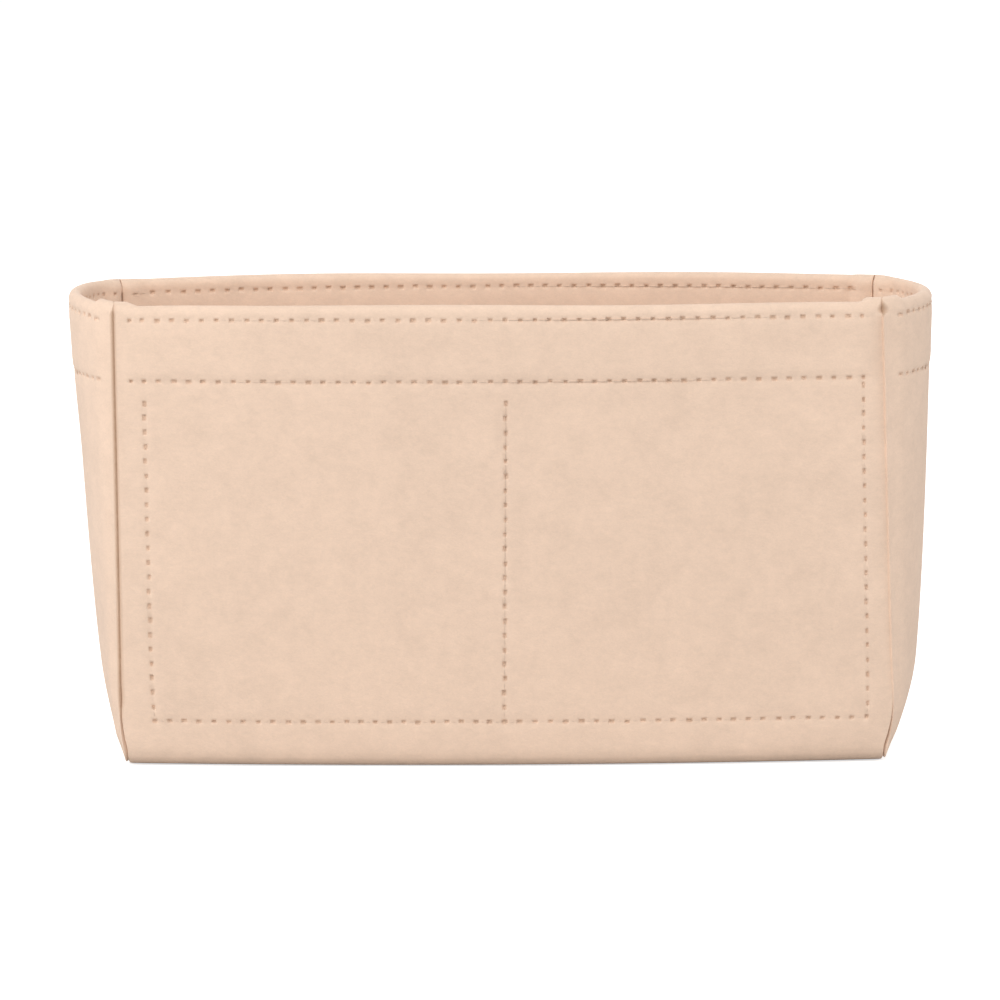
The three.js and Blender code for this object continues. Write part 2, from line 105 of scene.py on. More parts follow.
# The middle row's stray at its top and its greatest height, as shares, and the distance
# over which the felt beside it follows
STRAY_TOP, STRAY_LIMIT, STRAY_REACH = 0.22, 1.2, 52
# The slow waves keep off the seams, differ between front and back, and between the ends
WAVE_MARGIN, BACK_WAVE_STEP, END_WAVE_STEP = (0, 20), 40, 9
WAVE_HEIGHT, END_WAVE_HEIGHT = 0.16, 0.12
# Radii of a needle hole of a level and of an upright row, across and up
LEVEL_HOLE, UPRIGHT_HOLE = (0.98, 0.78), (0.78, 0.98)
# Radii of its rings, as shares of its own, their depths, and the painted shade there
RING_SHARES = np.array([1.0, 0.82, 0.62, 0.36])
RING_DEPTHS = np.array([0.05, 0.22, 0.44, 0.56])
RING_PAINTED_SHADE = np.array([0.10, 0.24, 0.40, 0.48])
# Unevenness of the holes: of their places, and as shares of their size and painted shade
HOLE_STRAY, HOLE_GROWTH, HOLE_SHADES = 0.1, 0.16, (0.4, 1.15)
# The rows of the gussets are drawn in deeper, and their holes get less painted shade
GUSSET_ROW_SUNK, GUSSET_HOLE_SHADE = 0.09, 0.5
# Where the rings of a stitch lie along it, as shares, how far its middle line stands
# from the felt's face there, its painted shade, and how thick as a share of the thread
STITCH_SHARES = np.array([0.0, 0.11, 0.23, 0.5, 0.77, 0.89, 1.0])
STITCH_LIFT = np.array([-0.85, -0.65, -0.21, -0.12, -0.21, -0.65, -0.85])
STITCH_PAINTED_SHADE = np.array([0.7, 0.5, 0.08, 0.0, 0.08, 0.5, 0.7])
STITCH_THICKNESS = np.array([0.85, 1.0, 1.0, 1.0, 1.0, 1.0, 0.85])
# A step off the felt's face, which shows a stitch the way up
STEP_UP = 0.2
# The last needle holes stay this far off the seams; a row runs on past them to its
# seam's turn, on the strip and on a gusset; the threads of the seams lie this far off
SEAM_MARGIN, STRIP_RUN_ON, GUSSET_RUN_ON, THREAD_CLEARANCE = 1.6, 0.3, 0.4, 0.3
# A pocket's lines: how far the wall's own keep off its edges, and how close to them one
# more lies. Its cloth is this much longer than the straight width.
POCKET_MARGINS, POCKET_EDGE, POCKET_SLACK = (0.3, 0.6), 0.25, 1.02
# Flat width, height and area of a gusset, in metres
GUSSET_FLAT, GUSSET_AREA = (0.092, 0.166), 0.0138

# Camera: the point it looks at and its distance, in millimetres, its angles in degrees
# and its focal length in pixels of a picture of PICTURE pixels; SENSOR in millimetres
CAMERA_TARGET = (-2.056, 0.0, 72.466)
CAMERA_DISTANCE = 2863.8
CAMERA_TILT, CAMERA_YAW, CAMERA_ROLL = 7.903, 0.757, -0.433
CAMERA_FOCUS = 9820.1
PICTURE = 1000
SENSOR = 36.0
# Lamps: where each stands and the width of its square, in metres, and what they aim at
LAMPS = {
    "key": ((-0.4, -1.5, 1.3), 1.2),
    "low": ((-0.25, -1.75, 0.28), 1.0),
    "left": ((-1.4, -0.3, 0.55), 0.9),
    "right": ((1.4, -0.25, 0.55), 0.9),
    "back": ((0.2, 1.6, 1.1), 1.0),
}
LAMP_AIM = (0, 0, 0.07)
# Half the floor's width in metres, and its grey in the light that it sends back
FLOOR_REACH, FLOOR_GREY = 8.0, 0.56
# Faces that meet at more than this angle have a sharp edge between them
SHARP_ANGLE = math.radians(60)


def length(name, description, millimetres):
    """A length property, whose default is given in millimetres."""
    return FloatProperty(
        name=name, description=description, default=millimetres * MM, min=0.0,
        unit="LENGTH", precision=5)


def press(name, what, default, least=0.4):
    """How squarely felt is pressed, as the weight of a rational curve's middle control."""
    return FloatProperty(
        name=name, description="How squarely " + what, default=default, min=least, max=60.0)


def light_level(name, description, default):
    return FloatProperty(name=name, description=description, default=default, min=0)


def factor(name, description, default):
    return FloatProperty(
        name=name, description=description, default=default, min=0, max=1, subtype="FACTOR")


def amount(name, description, default, least):
    return IntProperty(name=name, description=description, default=default, min=least)


def colour(name, description, default):
    return FloatVectorProperty(
        name=name, description=description, default=default, size=3, min=0.0, max=1.0,
        subtype="COLOR")


class OrganizerSizes(bpy.types.PropertyGroup):
    """Sizes of the box, its felt and its sewing."""

    width: length("Width", "Between the corner seams", 220)
    height: length("Height", "Of the rim between its corners", 134)
    base_depth: length("Base depth", "Front to back at the base", 80)
    rim_depth: length("Rim depth", "Front to back at the rim", 88)
    base_bow: length("Base bow", "How far a wall bows out at the base", 5.5)
    rim_bow: length("Rim bow", "How far a wall bows out at the rim", 8.5)
    bend_radius: length("Bend radius", "Outer radius of the bend under a wall", 8)
    bend_press: press("Bend press", "the felt is pressed at the bend, 0.7 for a round one", 1.7, 0.7071)
    base_pull: length("Base pull", "How far each end of the base is drawn in", 2.9)
    base_pull_height: length("Base pull height", "Height up to which it is drawn in", 26)
    felt: length("Felt", "Thickness of the felt", 2)
    layer_gap: length("Layer gap", "Between two layers of felt", 0.3)
    seam_gap: length("Seam gap", "Between two turned edges", 0.14)
    seam_allowance: length("Seam allowance", "Felt turned in at a seam", 3.2)
    hem_depth: length("Hem depth", "Felt folded in at the rim", 24)
    hem_blend: length("Hem blend", "Over which the rim widens to a corner", 1.9)
    corner_layer: length("Corner layer", "How much thicker the rim's fold is over a corner seam", 1.15)
    corner_rise: length("Corner rise", "Of the rim over a corner seam", 0.25)
    front_bump: length("Front bumps", "Rise of the rim over the two front seams", 0.9)
    rim_rise: length("Rim rise", "Of the rim at the middle of a wall", 0.5)
    left_rise: length("Left rise", "Of the rim at the middle of the left end", 1.2)
    right_rise: length("Right rise", "Of the rim at the middle of the right end", 0.4)
    squeeze_zone: length("Squeeze zone", "Below the fold, where rows draw together at a corner", 8)
    row_rise: length("Row rise", "Of the rim row over a corner seam, to keep it level", 0.7)
    row_rise_run: length("Row rise run", "Height over which that rise fades", 3)
    corner_press: length("Corner press", "How far the inner corners are pressed outward", 1.2)
    front_draw: length("Front draw", "How far the front seams are drawn inward", 1.3)
    back_shift: length("Back shift", "Of the back rim to the left", 1.0)
    left_tuck: length("Left tuck", "How far the left lower corners are drawn in", 1.2)
    right_tuck: length("Right tuck", "How far the right lower corners are drawn in", 2.4)
    left_foot_tuck: length("Left foot tuck", "How far the left gusset's foot is drawn in", 1.0)
    right_foot_tuck: length("Right foot tuck", "How far the right gusset's foot is drawn in", 1.5)
    left_swell: length("Left swell", "How much more the left end stands out at the rim", 0.35)
    right_swell: length("Right swell", "How much more the right end stands out", 1.05)
    gusset_swell: length("Gusset swell", "Of an end above the base", 3.1)
    gusset_swell_run: length("Gusset swell run", "Height over which it swells", 18)
    gusset_flare: length("Gusset flare", "Of an end towards the rim", 6.9)
    gusset_foot: length("Gusset foot", "Height at which the fan of its rows starts", 30)
    pocket_left: length("Pocket left", "Left edge of the front pocket, to the left of the middle", 103.7)
    pocket_right: length("Pocket right", "Right edge of the front pocket", 106.3)
    pocket_foot: length("Pocket foot", "Height of a pocket's lower edge", 11.9)
    pocket_mouth: length("Pocket mouth", "Height of a pocket's mouth", 106)
    pocket_margin: length("Pocket margin", "From a pocket's edge to its sewn row", 1.5)
    pocket_gape: length("Pocket gape", "How far a pocket stands open", 10)
    pocket_run_on: length("Run-on", "Of the right row of stitches above the pocket", 5.5)
    rim_row_drop: length("Rim row", "From the rim down to its row of stitches", 4)
    hem_row_drop: length("Hem row", "From the rim down to the hem's row of stitches", 21.5)
    foot_shut: length("Foot shut", "Height below which the corner seams are shut", 20)
    notch_run: length("Notch run", "Half height of the notch in the rim at the right front seam", 1.5)
    notch_press: press("Notch press", "the panels meet in that notch", 0.85)
    thread_radius: length("Thread radius", "Of the sewing thread", 0.2)
    lean: length("Lean", "How far the soft box leans to the left at its rim", 1.86)
    left_press: press("Left press", "the panels meet at the left seams", 3.0)
    right_press: press("Right press", "the panels meet at the right seams and over the rim", 25.0)
    divider_lean: length("Divider lean", "How far the middle row strays between its ends", 2.4)


class OrganizerDetail(bpy.types.PropertyGroup):
    """How finely the pieces are made."""

    turn_steps: amount("Turn steps", "Along a turned edge", 8, 4)
    fold_steps: amount("Fold steps", "Over the rim", 14, 6)
    bend_steps: amount("Bend steps", "Round the base bend", 8, 4)
    base_steps: amount("Base steps", "Across half the base", 12, 4)
    cells_across: amount("Cells across", "Between two upright rows of stitches", 48, 8)
    cells_up: amount("Cells up", "Between the foot row and the hem row", 47, 8)
    cells_band: amount("Cells in the band", "Between the hem row and the rim row", 8, 2)
    gusset_cells: amount("Gusset cells", "From a corner seam to a gusset's middle", 18, 6)
    seed: amount("Seed", "Of the stitches' unevenness", 7, 0)


class OrganizerLooks(bpy.types.PropertyGroup):
    """Colours of the felt, the thread and the painted shade, and levels of the light."""

    felt_colour: colour("Felt", "Beige felt", (0.835, 0.628, 0.487))
    # The colour of the painted shade deep in seams, grooves and needle holes
    crease_colour: colour("Creases", "Felt deep in seams and needle holes", (0.50, 0.32, 0.21))
    thread_colour: colour("Thread", "Sewing thread", (0.82, 0.615, 0.475))
    right_seam_shade: factor("Right seams", "How dark the right corner's seams are inside", 0.15)
    sky_level: light_level("Sky", "Light from all round", 0.45)
    key_level: light_level("Key light", "In watts, from the front", 17.5)
    low_level: light_level("Low light", "In watts, from the front and low", 2.5)
    left_level: light_level("Left light", "In watts", 7.5)
    right_level: light_level("Right light", "In watts", 6.5)
    back_level: light_level("Back light", "In watts", 9.0)
    floor_share: factor("Floor shadow", "How much of the shadow shows", 0.8)


GROUPS = {"sizes": OrganizerSizes, "detail": OrganizerDetail, "looks": OrganizerLooks}


def mix(low, high, share):
    return low + (high - low) * share


def smooth_share(share):
    """A share held between none and one, and eased: three squares less two cubes."""
    bounded = np.clip(share, 0, 1)
    return bounded * bounded * (3 - 2 * bounded)


def fade(value, start, run):
    """None up to a start and one from a run beyond it, with a smooth step between."""
    return smooth_share((value - start) / run)


def foot_share(z, height):
    """One on the table, and upward the square of what is left to a height."""
    return np.maximum(1 - z / height, 0) ** 2


def settings(context):
    """The sizes in millimetres with what follows from them, and the looks."""
    scene = context.scene
    group = scene.organizer_sizes
    f = SimpleNamespace(**{key: getattr(group, key) / MM for key in OrganizerSizes.__annotations__})
    for key in ("bend_press", "left_press", "right_press", "notch_press"):
        setattr(f, key, getattr(group, key))
    f.detail = scene.organizer_detail
    f.layer_pitch = f.felt + f.layer_gap
    f.turn_radius = f.layer_pitch / 2
    f.edge_radius = f.turn_radius + f.felt / 2
    f.seam_spacing = 2 * f.edge_radius + f.seam_gap
    f.seam_zone = f.seam_allowance + f.layer_gap
    f.bend_mid_radius = f.bend_radius - f.felt / 2
    f.half_panel = f.width / 2 - f.turn_radius
    f.hem_edge = f.height - f.hem_depth
    f.fold_height = f.height - f.felt / 2 - f.turn_radius
    f.level_limit = f.fold_height - f.squeeze_zone
    f.rim_row = f.height - f.rim_row_drop
    f.hem_row = f.height - f.hem_row_drop
    f.left_row = -f.pocket_left + f.pocket_margin
    f.right_row = f.pocket_right - f.pocket_margin
    f.middle_row = (f.left_row + f.right_row) / 2
    f.foot_row = f.pocket_foot + f.pocket_margin
    f.cell_across = (f.right_row - f.middle_row) / f.detail.cells_across
    f.cell_up = (f.hem_row - f.foot_row) / f.detail.cells_up
    f.cell_band = (f.rim_row - f.hem_row) / f.detail.cells_band
    chord = wall_half_depth(f, f.width / 2, f.height) - f.turn_radius
    slope = math.atan(2 * gusset_bulge(f, f.height) / chord)
    f.corner_slide = 2 * f.corner_layer * (1 - math.sin(slope)) / math.cos(slope)
    return f, scene.organizer_looks


def wall_half_depth(f, x, z):
    """Half the depth to the wall's middle layer: it grows straight from base to rim, less
    a bow that grows with the square of the distance from the middle of the wall."""
    lift = z / f.height
    middle = (mix(f.base_depth, f.rim_depth, lift) - f.felt) / 2
    return middle - mix(f.base_bow, f.rim_bow, lift) * (x / (f.width / 2)) ** 2


def gusset_bulge(f, z):
    """How far an end stands out at its middle line: a swell that settles exponentially
    above the bend, and a flare in proportion to the height."""
    above = np.maximum(z - f.bend_radius, 0)
    return f.gusset_swell * (1 - np.exp(-above / f.gusset_swell_run)) + f.gusset_flare * above / f.height


def seam_weight(f, from_seam):
    """How much a place belongs to a corner seam: one over it, none past its blend."""
    return smooth_share(1 - (from_seam - f.seam_zone) / f.hem_blend)


def rim_radius(f, from_seam):
    """Radius of the fold's middle, which is larger over a corner seam."""
    return f.turn_radius + f.corner_layer * seam_weight(f, from_seam)


def rim_centre(f, from_seam):
    """Height of the fold's centre, whose top rises over a corner seam."""
    rise = f.corner_rise * seam_weight(f, from_seam)
    return f.height + rise - f.felt / 2 - rim_radius(f, from_seam)


def level_height(f, nominal, from_seam):
    """Rows are level up to a limit; above it they share out what is left to the fold."""
    share = (nominal - f.level_limit) / (f.fold_height - f.level_limit)
    shared = mix(f.level_limit, rim_centre(f, from_seam), share)
    return np.where(share <= 0, nominal, shared)


def front_way(way):
    """A place on the back half as the same place on the front half, and its sign in y."""
    return np.where(way > MIDDLE, WHOLE - way, way), np.where(way > MIDDLE, -1.0, 1.0)


def nominal_height(f, way):
    """Height of a row of the hem or the wall, before the rim's own rise and fall."""
    hem = mix(f.hem_edge, f.fold_height, way)
    wall = mix(f.fold_height, f.bend_radius, way - WALL)
    return np.where(way < FOLD, hem, wall)


def hem_way(f, z):
    return (z - f.hem_edge) / (f.fold_height - f.hem_edge)


def wall_way(f, z):
    return WALL + (f.fold_height - z) / (f.fold_height - f.bend_radius)


def on_wall(way):
    """Whether a row of the front half lies on the wall."""
    return (way >= WALL) & (way < BEND)


def wall_level(f, way):
    """The row, from the wall on, whose section a row of the front half shares: for the
    hem the wall's row at its height, and for the fold the wall's first."""
    behind = wall_way(f, nominal_height(f, way))
    return np.where(way < FOLD, behind, np.where(way < WALL, WALL, way))


def strip_row(f, way, x):
    """The strip's outer layer in section: an upright hem and wall, a half circle over the
    rim, a quarter circle under the wall and a flat base. Gives y, z, the inward normal and
    how far the row has gone over the rim, from none to one."""
    from_seam = f.width / 2 - np.abs(x)
    radius = rim_radius(f, from_seam)
    centre = rim_centre(f, from_seam)
    level = level_height(f, nominal_height(f, way), from_seam)
    fold = math.pi * (2 - way)
    bend = math.pi / 2 * (way - BEND)
    foot = f.bend_mid_radius - wall_half_depth(f, x, f.bend_radius)
    legs = [way < FOLD, way < WALL, way < BEND, way < BASE]
    y = np.select(legs, [
        2 * radius - wall_half_depth(f, x, level),
        radius * (1 - np.cos(fold)) - wall_half_depth(f, x, centre),
        -wall_half_depth(f, x, level),
        foot - f.bend_mid_radius * np.cos(bend),
    ], foot * (1 - (way - BASE)))
    z = np.select(legs, [
        level, centre + radius * np.sin(fold), level,
        f.bend_radius - f.bend_mid_radius * np.sin(bend),
    ], f.bend_radius - f.bend_mid_radius)
    normal_y = np.select(legs, [-1.0, np.cos(fold), 1.0, np.cos(bend)], 0.0)
    normal_z = np.select(legs, [0.0, -np.sin(fold), 0.0, np.sin(bend)], 1.0)
    over = np.select(legs[:2], [1.0, (1 - np.cos(fold)) / 2], 0.0)
    return y, z, normal_y, normal_z, over


def drawn_share(f, z, over):
    """What is left of an x where the base is drawn in and in the layers inside the rim."""
    pull = f.base_pull * foot_share(z, f.base_pull_height)
    return 1 - (f.corner_slide * over + pull) / (f.width / 2)


def rim_share(f, z):
    """How much a height takes part in the rim's own rises: none below the hem row."""
    return fade(z, f.hem_row, f.height - f.hem_row)


def row_lift(f, from_seam, z):
    """Over a corner seam the rows close to the rim row are lifted back to its height."""
    near = np.exp(-((z - f.rim_row + f.row_rise) / f.row_rise_run) ** 2)
    return f.row_rise * seam_weight(f, from_seam) * near


def front_bump(f, from_seam, y, z):
    """The seams' allowances lift the front rim in two short bumps."""
    weight = seam_weight(f, from_seam)
    return f.front_bump * weight * (y < 0) * fade(z, f.rim_row, f.rim_row_drop)


def strip_point(f, way, reach, depth):
    """A point of the strip at a signed distance from the middle and a depth behind its
    outer layer: the row's place moved along the row's inward normal."""
    way, back = front_way(way)
    y, z, normal_y, normal_z, over = strip_row(f, way, reach)
    y = (y + normal_y * depth) * back
    z = z + normal_z * depth
    x = reach * drawn_share(f, z, over)
    rise = f.rim_rise * (1 - (reach / f.half_panel) ** 4) * rim_share(f, z)
    from_seam = f.width / 2 - np.abs(reach)
    z = z + row_lift(f, from_seam, z)
    z = z + np.maximum(rise, 0) + front_bump(f, from_seam, y, z)
    return np.stack(np.broadcast_arrays(x, y, z), -1)


def seam_at(f, way):
    """The corner seam at rows of the front half: centres of the two turned edges (out, y,
    z), the direction into the box, and the height of the gusset's middle line there. The
    two edges lie side by side across the line that halves the angle of the two panels."""
    line = f.half_panel + 0 * way
    _, _, normal_y, normal_z, _ = strip_row(f, way, line)
    edge = strip_point(f, way, line, f.turn_radius)
    spine = np.maximum(edge[..., 2], f.gusset_foot)
    reach = np.hypot(edge[..., 1], edge[..., 2] - spine) - f.turn_radius
    rise = gusset_out(f, 0 * way, spine) - f.seam_spacing - edge[..., 0]
    slope = np.arctan(2 * rise / reach)
    across, along = 1 + np.sin(slope), np.cos(slope)
    size = np.hypot(across, along)
    across, along = across / size, along / size
    step = np.stack([across, along * normal_y, along * normal_z], -1)
    inside = np.stack([-along, across * normal_y, across * normal_z], -1)
    return edge, edge + f.seam_spacing * step, inside, spine


def gusset_out(f, y, z):
    """How far out a gusset lies: a parabola over its half depth at that height."""
    half = wall_half_depth(f, f.width / 2, z) - f.turn_radius
    return f.half_panel + f.seam_spacing + gusset_bulge(f, z) * (1 - (y / half) ** 2)


def gusset_section(f, way):
    """Sections of a gusset from its seam to its middle line, one for each row."""
    _, edge, _, spine = seam_at(f, way)
    start_y, start_z = edge[..., 1], edge[..., 2]
    span = np.hypot(start_y, start_z - spine)
    s = SimpleNamespace(
        f=f, start_y=start_y, start_z=start_z, span=span, out=edge[..., 0],
        step_y=-start_y / span, step_z=(spine - start_z) / span,
        miss=edge[..., 0] - gusset_out(f, start_y, start_z), slope=0 * span,
    )
    probe = 0.02 * span
    s.slope = (section_out(s, probe) - s.out) / probe
    return s


def section_out(s, along):
    """The gusset's curve plus the seam's miss, which fades along the section; before the
    seam it goes on straight."""
    y = s.start_y + s.step_y * along
    z = s.start_z + s.step_z * along
    inside = gusset_out(s.f, y, z) + s.miss * (1 - along / s.span) ** 2
    return np.where(along <= 0, s.out + s.slope * along, inside)


def gusset_point(f, side, way, along, depth):
    """A point of a gusset at a distance from its seam's turn and a depth behind its outer
    layer. Rows over the rim share the section of the wall below them."""
    way, back = front_way(way)
    hem, fold = way < FOLD, (way >= FOLD) & (way < WALL)
    nominal = nominal_height(f, way)
    s = gusset_section(f, wall_level(f, way))
    from_seam = along + f.turn_radius
    radius = rim_radius(f, from_seam)
    angle = math.pi * (2 - way)
    inward = np.where(hem, 2 * radius - depth, depth)
    inward = np.where(fold, radius - (radius - depth) * np.cos(angle), inward)
    over = np.where(hem, 1.0, np.where(fold, (1 - np.cos(angle)) / 2, 0.0))
    along = along + f.corner_slide * over * (1 - np.maximum(along / s.span, 0))
    lift = f.turn_radius - inward
    slope = np.arctan(s.slope * (1 - np.maximum(along / s.span, 0)))
    in_plane = along - lift * np.sin(slope)
    out = section_out(s, along) + lift * np.cos(slope)
    y = s.start_y + s.step_y * in_plane
    z = s.start_z + s.step_z * in_plane
    near_rim = (way < BEND) & (nominal > f.level_limit)
    z = np.where(near_rim, level_height(f, nominal, from_seam), z)
    z = np.where(fold, rim_centre(f, from_seam) + (radius - depth) * np.sin(angle), z)
    half = wall_half_depth(f, f.width / 2, z) - f.turn_radius
    middle = np.maximum(1 - (y / half) ** 2, 0)
    if side > 0:
        tuck, rise = f.right_foot_tuck, f.right_rise
        swell = f.right_swell * fade(z, 0, RIGHT_SWELL_RUN)
    else:
        tuck, rise = f.left_foot_tuck, f.left_rise
        swell = f.left_swell * rim_share(f, z + LEFT_SWELL_DROP)
    x = side * (out + (swell - tuck * foot_share(z, FOOT_TUCK_HEIGHT)) * middle)
    y = y * back
    z = z + row_lift(f, from_seam, z)
    z = z + rise * middle * rim_share(f, z) + front_bump(f, from_seam, y, z)
    return np.stack(np.broadcast_arrays(x, y, z), -1)


def gusset_face(f, side, along, way, offset):
    """A point of a gusset's finished surface, at a distance from the felt's middle."""
    return lean_over(f, gusset_point(f, side, way, along, -offset))


def meeting_angle(f, way):
    """Angle from a panel's outward normal to where its turned edge meets the next one:
    it is the sharper the further the row has gone over the rim. And how firmly the seam
    is shut there: over the rim's fold and at the foot."""
    front, _ = front_way(way)
    height, level = nominal_height(f, front), wall_level(f, front)
    edge, other, _, _ = seam_at(f, level)
    _, _, normal_y, normal_z, _ = strip_row(f, level, f.half_panel + 0 * level)
    step = (other - edge) / f.seam_spacing
    inward = step[..., 1] * normal_y + step[..., 2] * normal_z
    turned = np.select([front < FOLD, front < WALL], [-1.0, np.cos(math.pi * (2 - front))], 1.0)
    hem_top = fade(height, f.rim_row, HEM_SHUT_RUN)
    crest = np.where(front < FOLD, hem_top, smooth_share((WALL - front) * CREST_STEEPNESS))
    foot = smooth_share((f.foot_shut - height) / FOOT_SHUT_RUN)
    return np.arctan2(step[..., 0], -inward * turned), np.maximum(crest, foot)


def rim_notch(f, way):
    """How far a row belongs to the notch in the rim at the right front seam."""
    leg = np.where(way < WALL, math.pi * f.turn_radius, f.fold_height - f.bend_radius)
    above = (WALL - way) * leg + NOTCH_DROP
    return np.exp(-(above / f.notch_run) ** 4) * (way <= MIDDLE)


def pressed_edge(f, panel, offset):
    """Places of a turned edge's outer face, from the flat panel round to where it meets
    the next panel's: a rational curve with three controls, of which the middle one, where
    the two tangents cross, weighs the more the harder the seam is pressed."""
    meet, shut = meeting_angle(f, panel.way)
    turn = np.arctan2(-panel.normal_along, -panel.normal_depth) + 0 * panel.way
    share = np.clip(turn / meet, 0, 1)
    radius = f.turn_radius + offset
    right = mix(f.right_press, f.notch_press, rim_notch(f, panel.way))
    weight = np.where(panel.side > 0, right, mix(f.left_press, f.right_press, shut))
    first, second, third = (1 - share) ** 2, 2 * weight * share * (1 - share), share ** 2
    total = first + second + third
    run = -radius * (np.tan(meet / 2) * second + np.sin(meet) * third) / total
    run = run - np.where(panel.side > 0, 1, shut) * share * (f.seam_gap / 2 + SEAM_OVERLAP)
    sink = f.turn_radius - radius * (first + second + np.cos(meet) * third) / total
    curved = (turn > 0) & (turn < meet) & (np.abs(turn - math.pi) > 1e-6)
    return (
        np.where(curved, run, panel.along + panel.normal_along * offset),
        np.where(curved, sink, panel.depth + panel.normal_depth * offset),
    )


def turned_edge(f):
    """Stations of a turned edge from its cut to the panel: distance from the turn's
    centre, depth behind the outer layer, and the outward normal along and in depth."""
    angle = np.linspace(math.pi, 0, f.detail.turn_steps + 1)
    lain = LAIN_SHARES * (f.seam_allowance - f.turn_radius)
    along = np.append(lain, -f.turn_radius * np.sin(angle))
    depth = np.append(0 * lain + f.layer_pitch, f.turn_radius * (1 - np.cos(angle)))
    normal_along = np.append(0 * lain, -np.sin(angle))
    normal_depth = np.append(0 * lain + 1, -np.cos(angle))
    return along, depth, normal_along, normal_depth


def cell_lines(centre, cell, count, low, high):
    """Lines between cells of even width about a centre, from low to high."""
    lines = centre + cell * (np.arange(-count, count) + 0.5)
    return lines[(lines > low) & (lines < high)]


def with_row(lines, row):
    """Two lines more, close to the middle of a sewn row."""
    return np.sort(np.append(lines, [row - ROW_HALF, row + ROW_HALF]))


def across_lines(f):
    """Lines across the strip, one cell for each half stitch, finer at the upright rows."""
    limit = f.half_panel - EDGE_MARGIN
    lines = cell_lines(f.middle_row, f.cell_across, 2 * f.detail.cells_across, -limit, limit)
    for row in (f.left_row, f.middle_row, f.right_row):
        lines = with_row(lines, row)
    return np.sort(np.append(lines, BUMP_LINES))


def wall_lines(f):
    """Heights of the rows on a wall from the bend to the fold, finer at the level rows."""
    foot = f.bend_radius + BEND_MARGIN
    low = cell_lines(f.foot_row, f.cell_up, f.detail.cells_up, foot, f.hem_row)
    high = cell_lines(f.hem_row, f.cell_band, f.detail.cells_band + 1, f.hem_row, f.fold_height)
    lines = np.append(low, high)
    for row in (f.foot_row, f.hem_row, f.rim_row):
        lines = with_row(lines, row)
    return lines


def half_way(f):
    """The rows of half the box, from the hem's free edge to the middle of the base."""
    levels = wall_lines(f)
    hem = levels[levels > f.hem_edge + BEND_MARGIN]
    edge = [f.hem_edge, f.hem_edge + EDGE_MARGIN]
    parts = [
        hem_way(f, np.append(edge, hem)),
        np.linspace(FOLD, WALL, f.detail.fold_steps + 1),
        wall_way(f, levels[::-1]),
        np.linspace(BEND, BASE, f.detail.bend_steps + 1),
        np.linspace(BASE, MIDDLE, f.detail.base_steps + 1)[1:],
    ]
    return np.concatenate(parts)


def whole_way(f):
    half = half_way(f)
    return np.append(half, WHOLE - half[-2::-1])


def groove(distance):
    """A sewn row pulls the felt in along a narrow line and lets it swell beside it."""
    pull = GROOVE_DEPTH * np.exp(-(distance / GROOVE_WIDTH) ** 2)
    swell = SWELL_HEIGHT * np.exp(-((np.abs(distance) - SWELL_PLACE) / SWELL_WIDTH) ** 2)
    return swell - pull


def level_rows_relief(f, way):
    """Relief of the rim row and the hem row, on a wall and on the hem alike. The band
    between the two rows stands out on the wall."""
    way, _ = front_way(way)
    z = nominal_height(f, way)
    relief = groove(z - f.rim_row) + groove(z - f.hem_row)
    band = BAND_RISE * fade(z - f.hem_row, *BAND_FOOT) * fade(f.height - z, *BAND_TOP)
    return np.where((way < FOLD) | on_wall(way), relief + np.where(way >= WALL, band, 0), 0)


def pocket_rows_relief(f, x, z):
    """Relief of the three upright rows and the foot row of the front pocket."""
    beside = (x > f.left_row - ROW_END) & (x < f.right_row + ROW_END)
    relief = groove(z - f.foot_row) * beside
    mouth = f.pocket_mouth + MOUTH_END
    run_on = f.pocket_mouth + f.pocket_run_on + RUN_ON_END
    for row, top in ((f.left_row, mouth), (f.middle_row, mouth), (f.right_row, run_on)):
        relief = relief + groove(x - row) * ((z > f.foot_row - ROW_END) & (z < top))
    return relief


def strip_relief(f, x, way):
    """Relief of the strip's outer face; the back wall is the front wall turned round."""
    front, back = front_way(way)
    pocket = pocket_rows_relief(f, x * back, nominal_height(f, front))
    return level_rows_relief(f, way) + np.where(on_wall(front), pocket, 0)


def soft_waves(u, way, height):
    """A slow unevenness of the felt: three products of sines, whose lengths in millimetres
    and starts have no common measure, so that it never repeats. It fades out towards the
    bend, and the base stays flat."""
    front, _ = front_way(way)
    v = 60 * front
    height = height * smooth_share((BEND - front) * 5)
    first = np.sin(u / 17.0 + 0.9 * np.sin(v / 23.0)) * np.sin(v / 29.0 + 1.1)
    second = np.sin(u / 41.0 + v / 37.0 + 0.7)
    third = np.sin(v / 11.0 + 1.3 * np.sin(u / 31.0))
    return height * (first + second + 0.4 * third)


def divider_shift(f, x, z):
    """The middle row strays a little: most to the left at its foot."""
    share = (z - f.foot_row) / (f.pocket_mouth - f.foot_row)
    stray = f.divider_lean * (STRAY_TOP - (1 - np.clip(share, 0, STRAY_LIMIT)))
    return stray * np.maximum(1 - np.abs(x - f.middle_row) / STRAY_REACH, 0)


def strip_shift(f, x, way):
    """The stray of the middle row on the walls of the strip, and none elsewhere."""
    front, back = front_way(way)
    shift = divider_shift(f, x * back, nominal_height(f, front)) * back
    return np.where(on_wall(front), shift, 0)


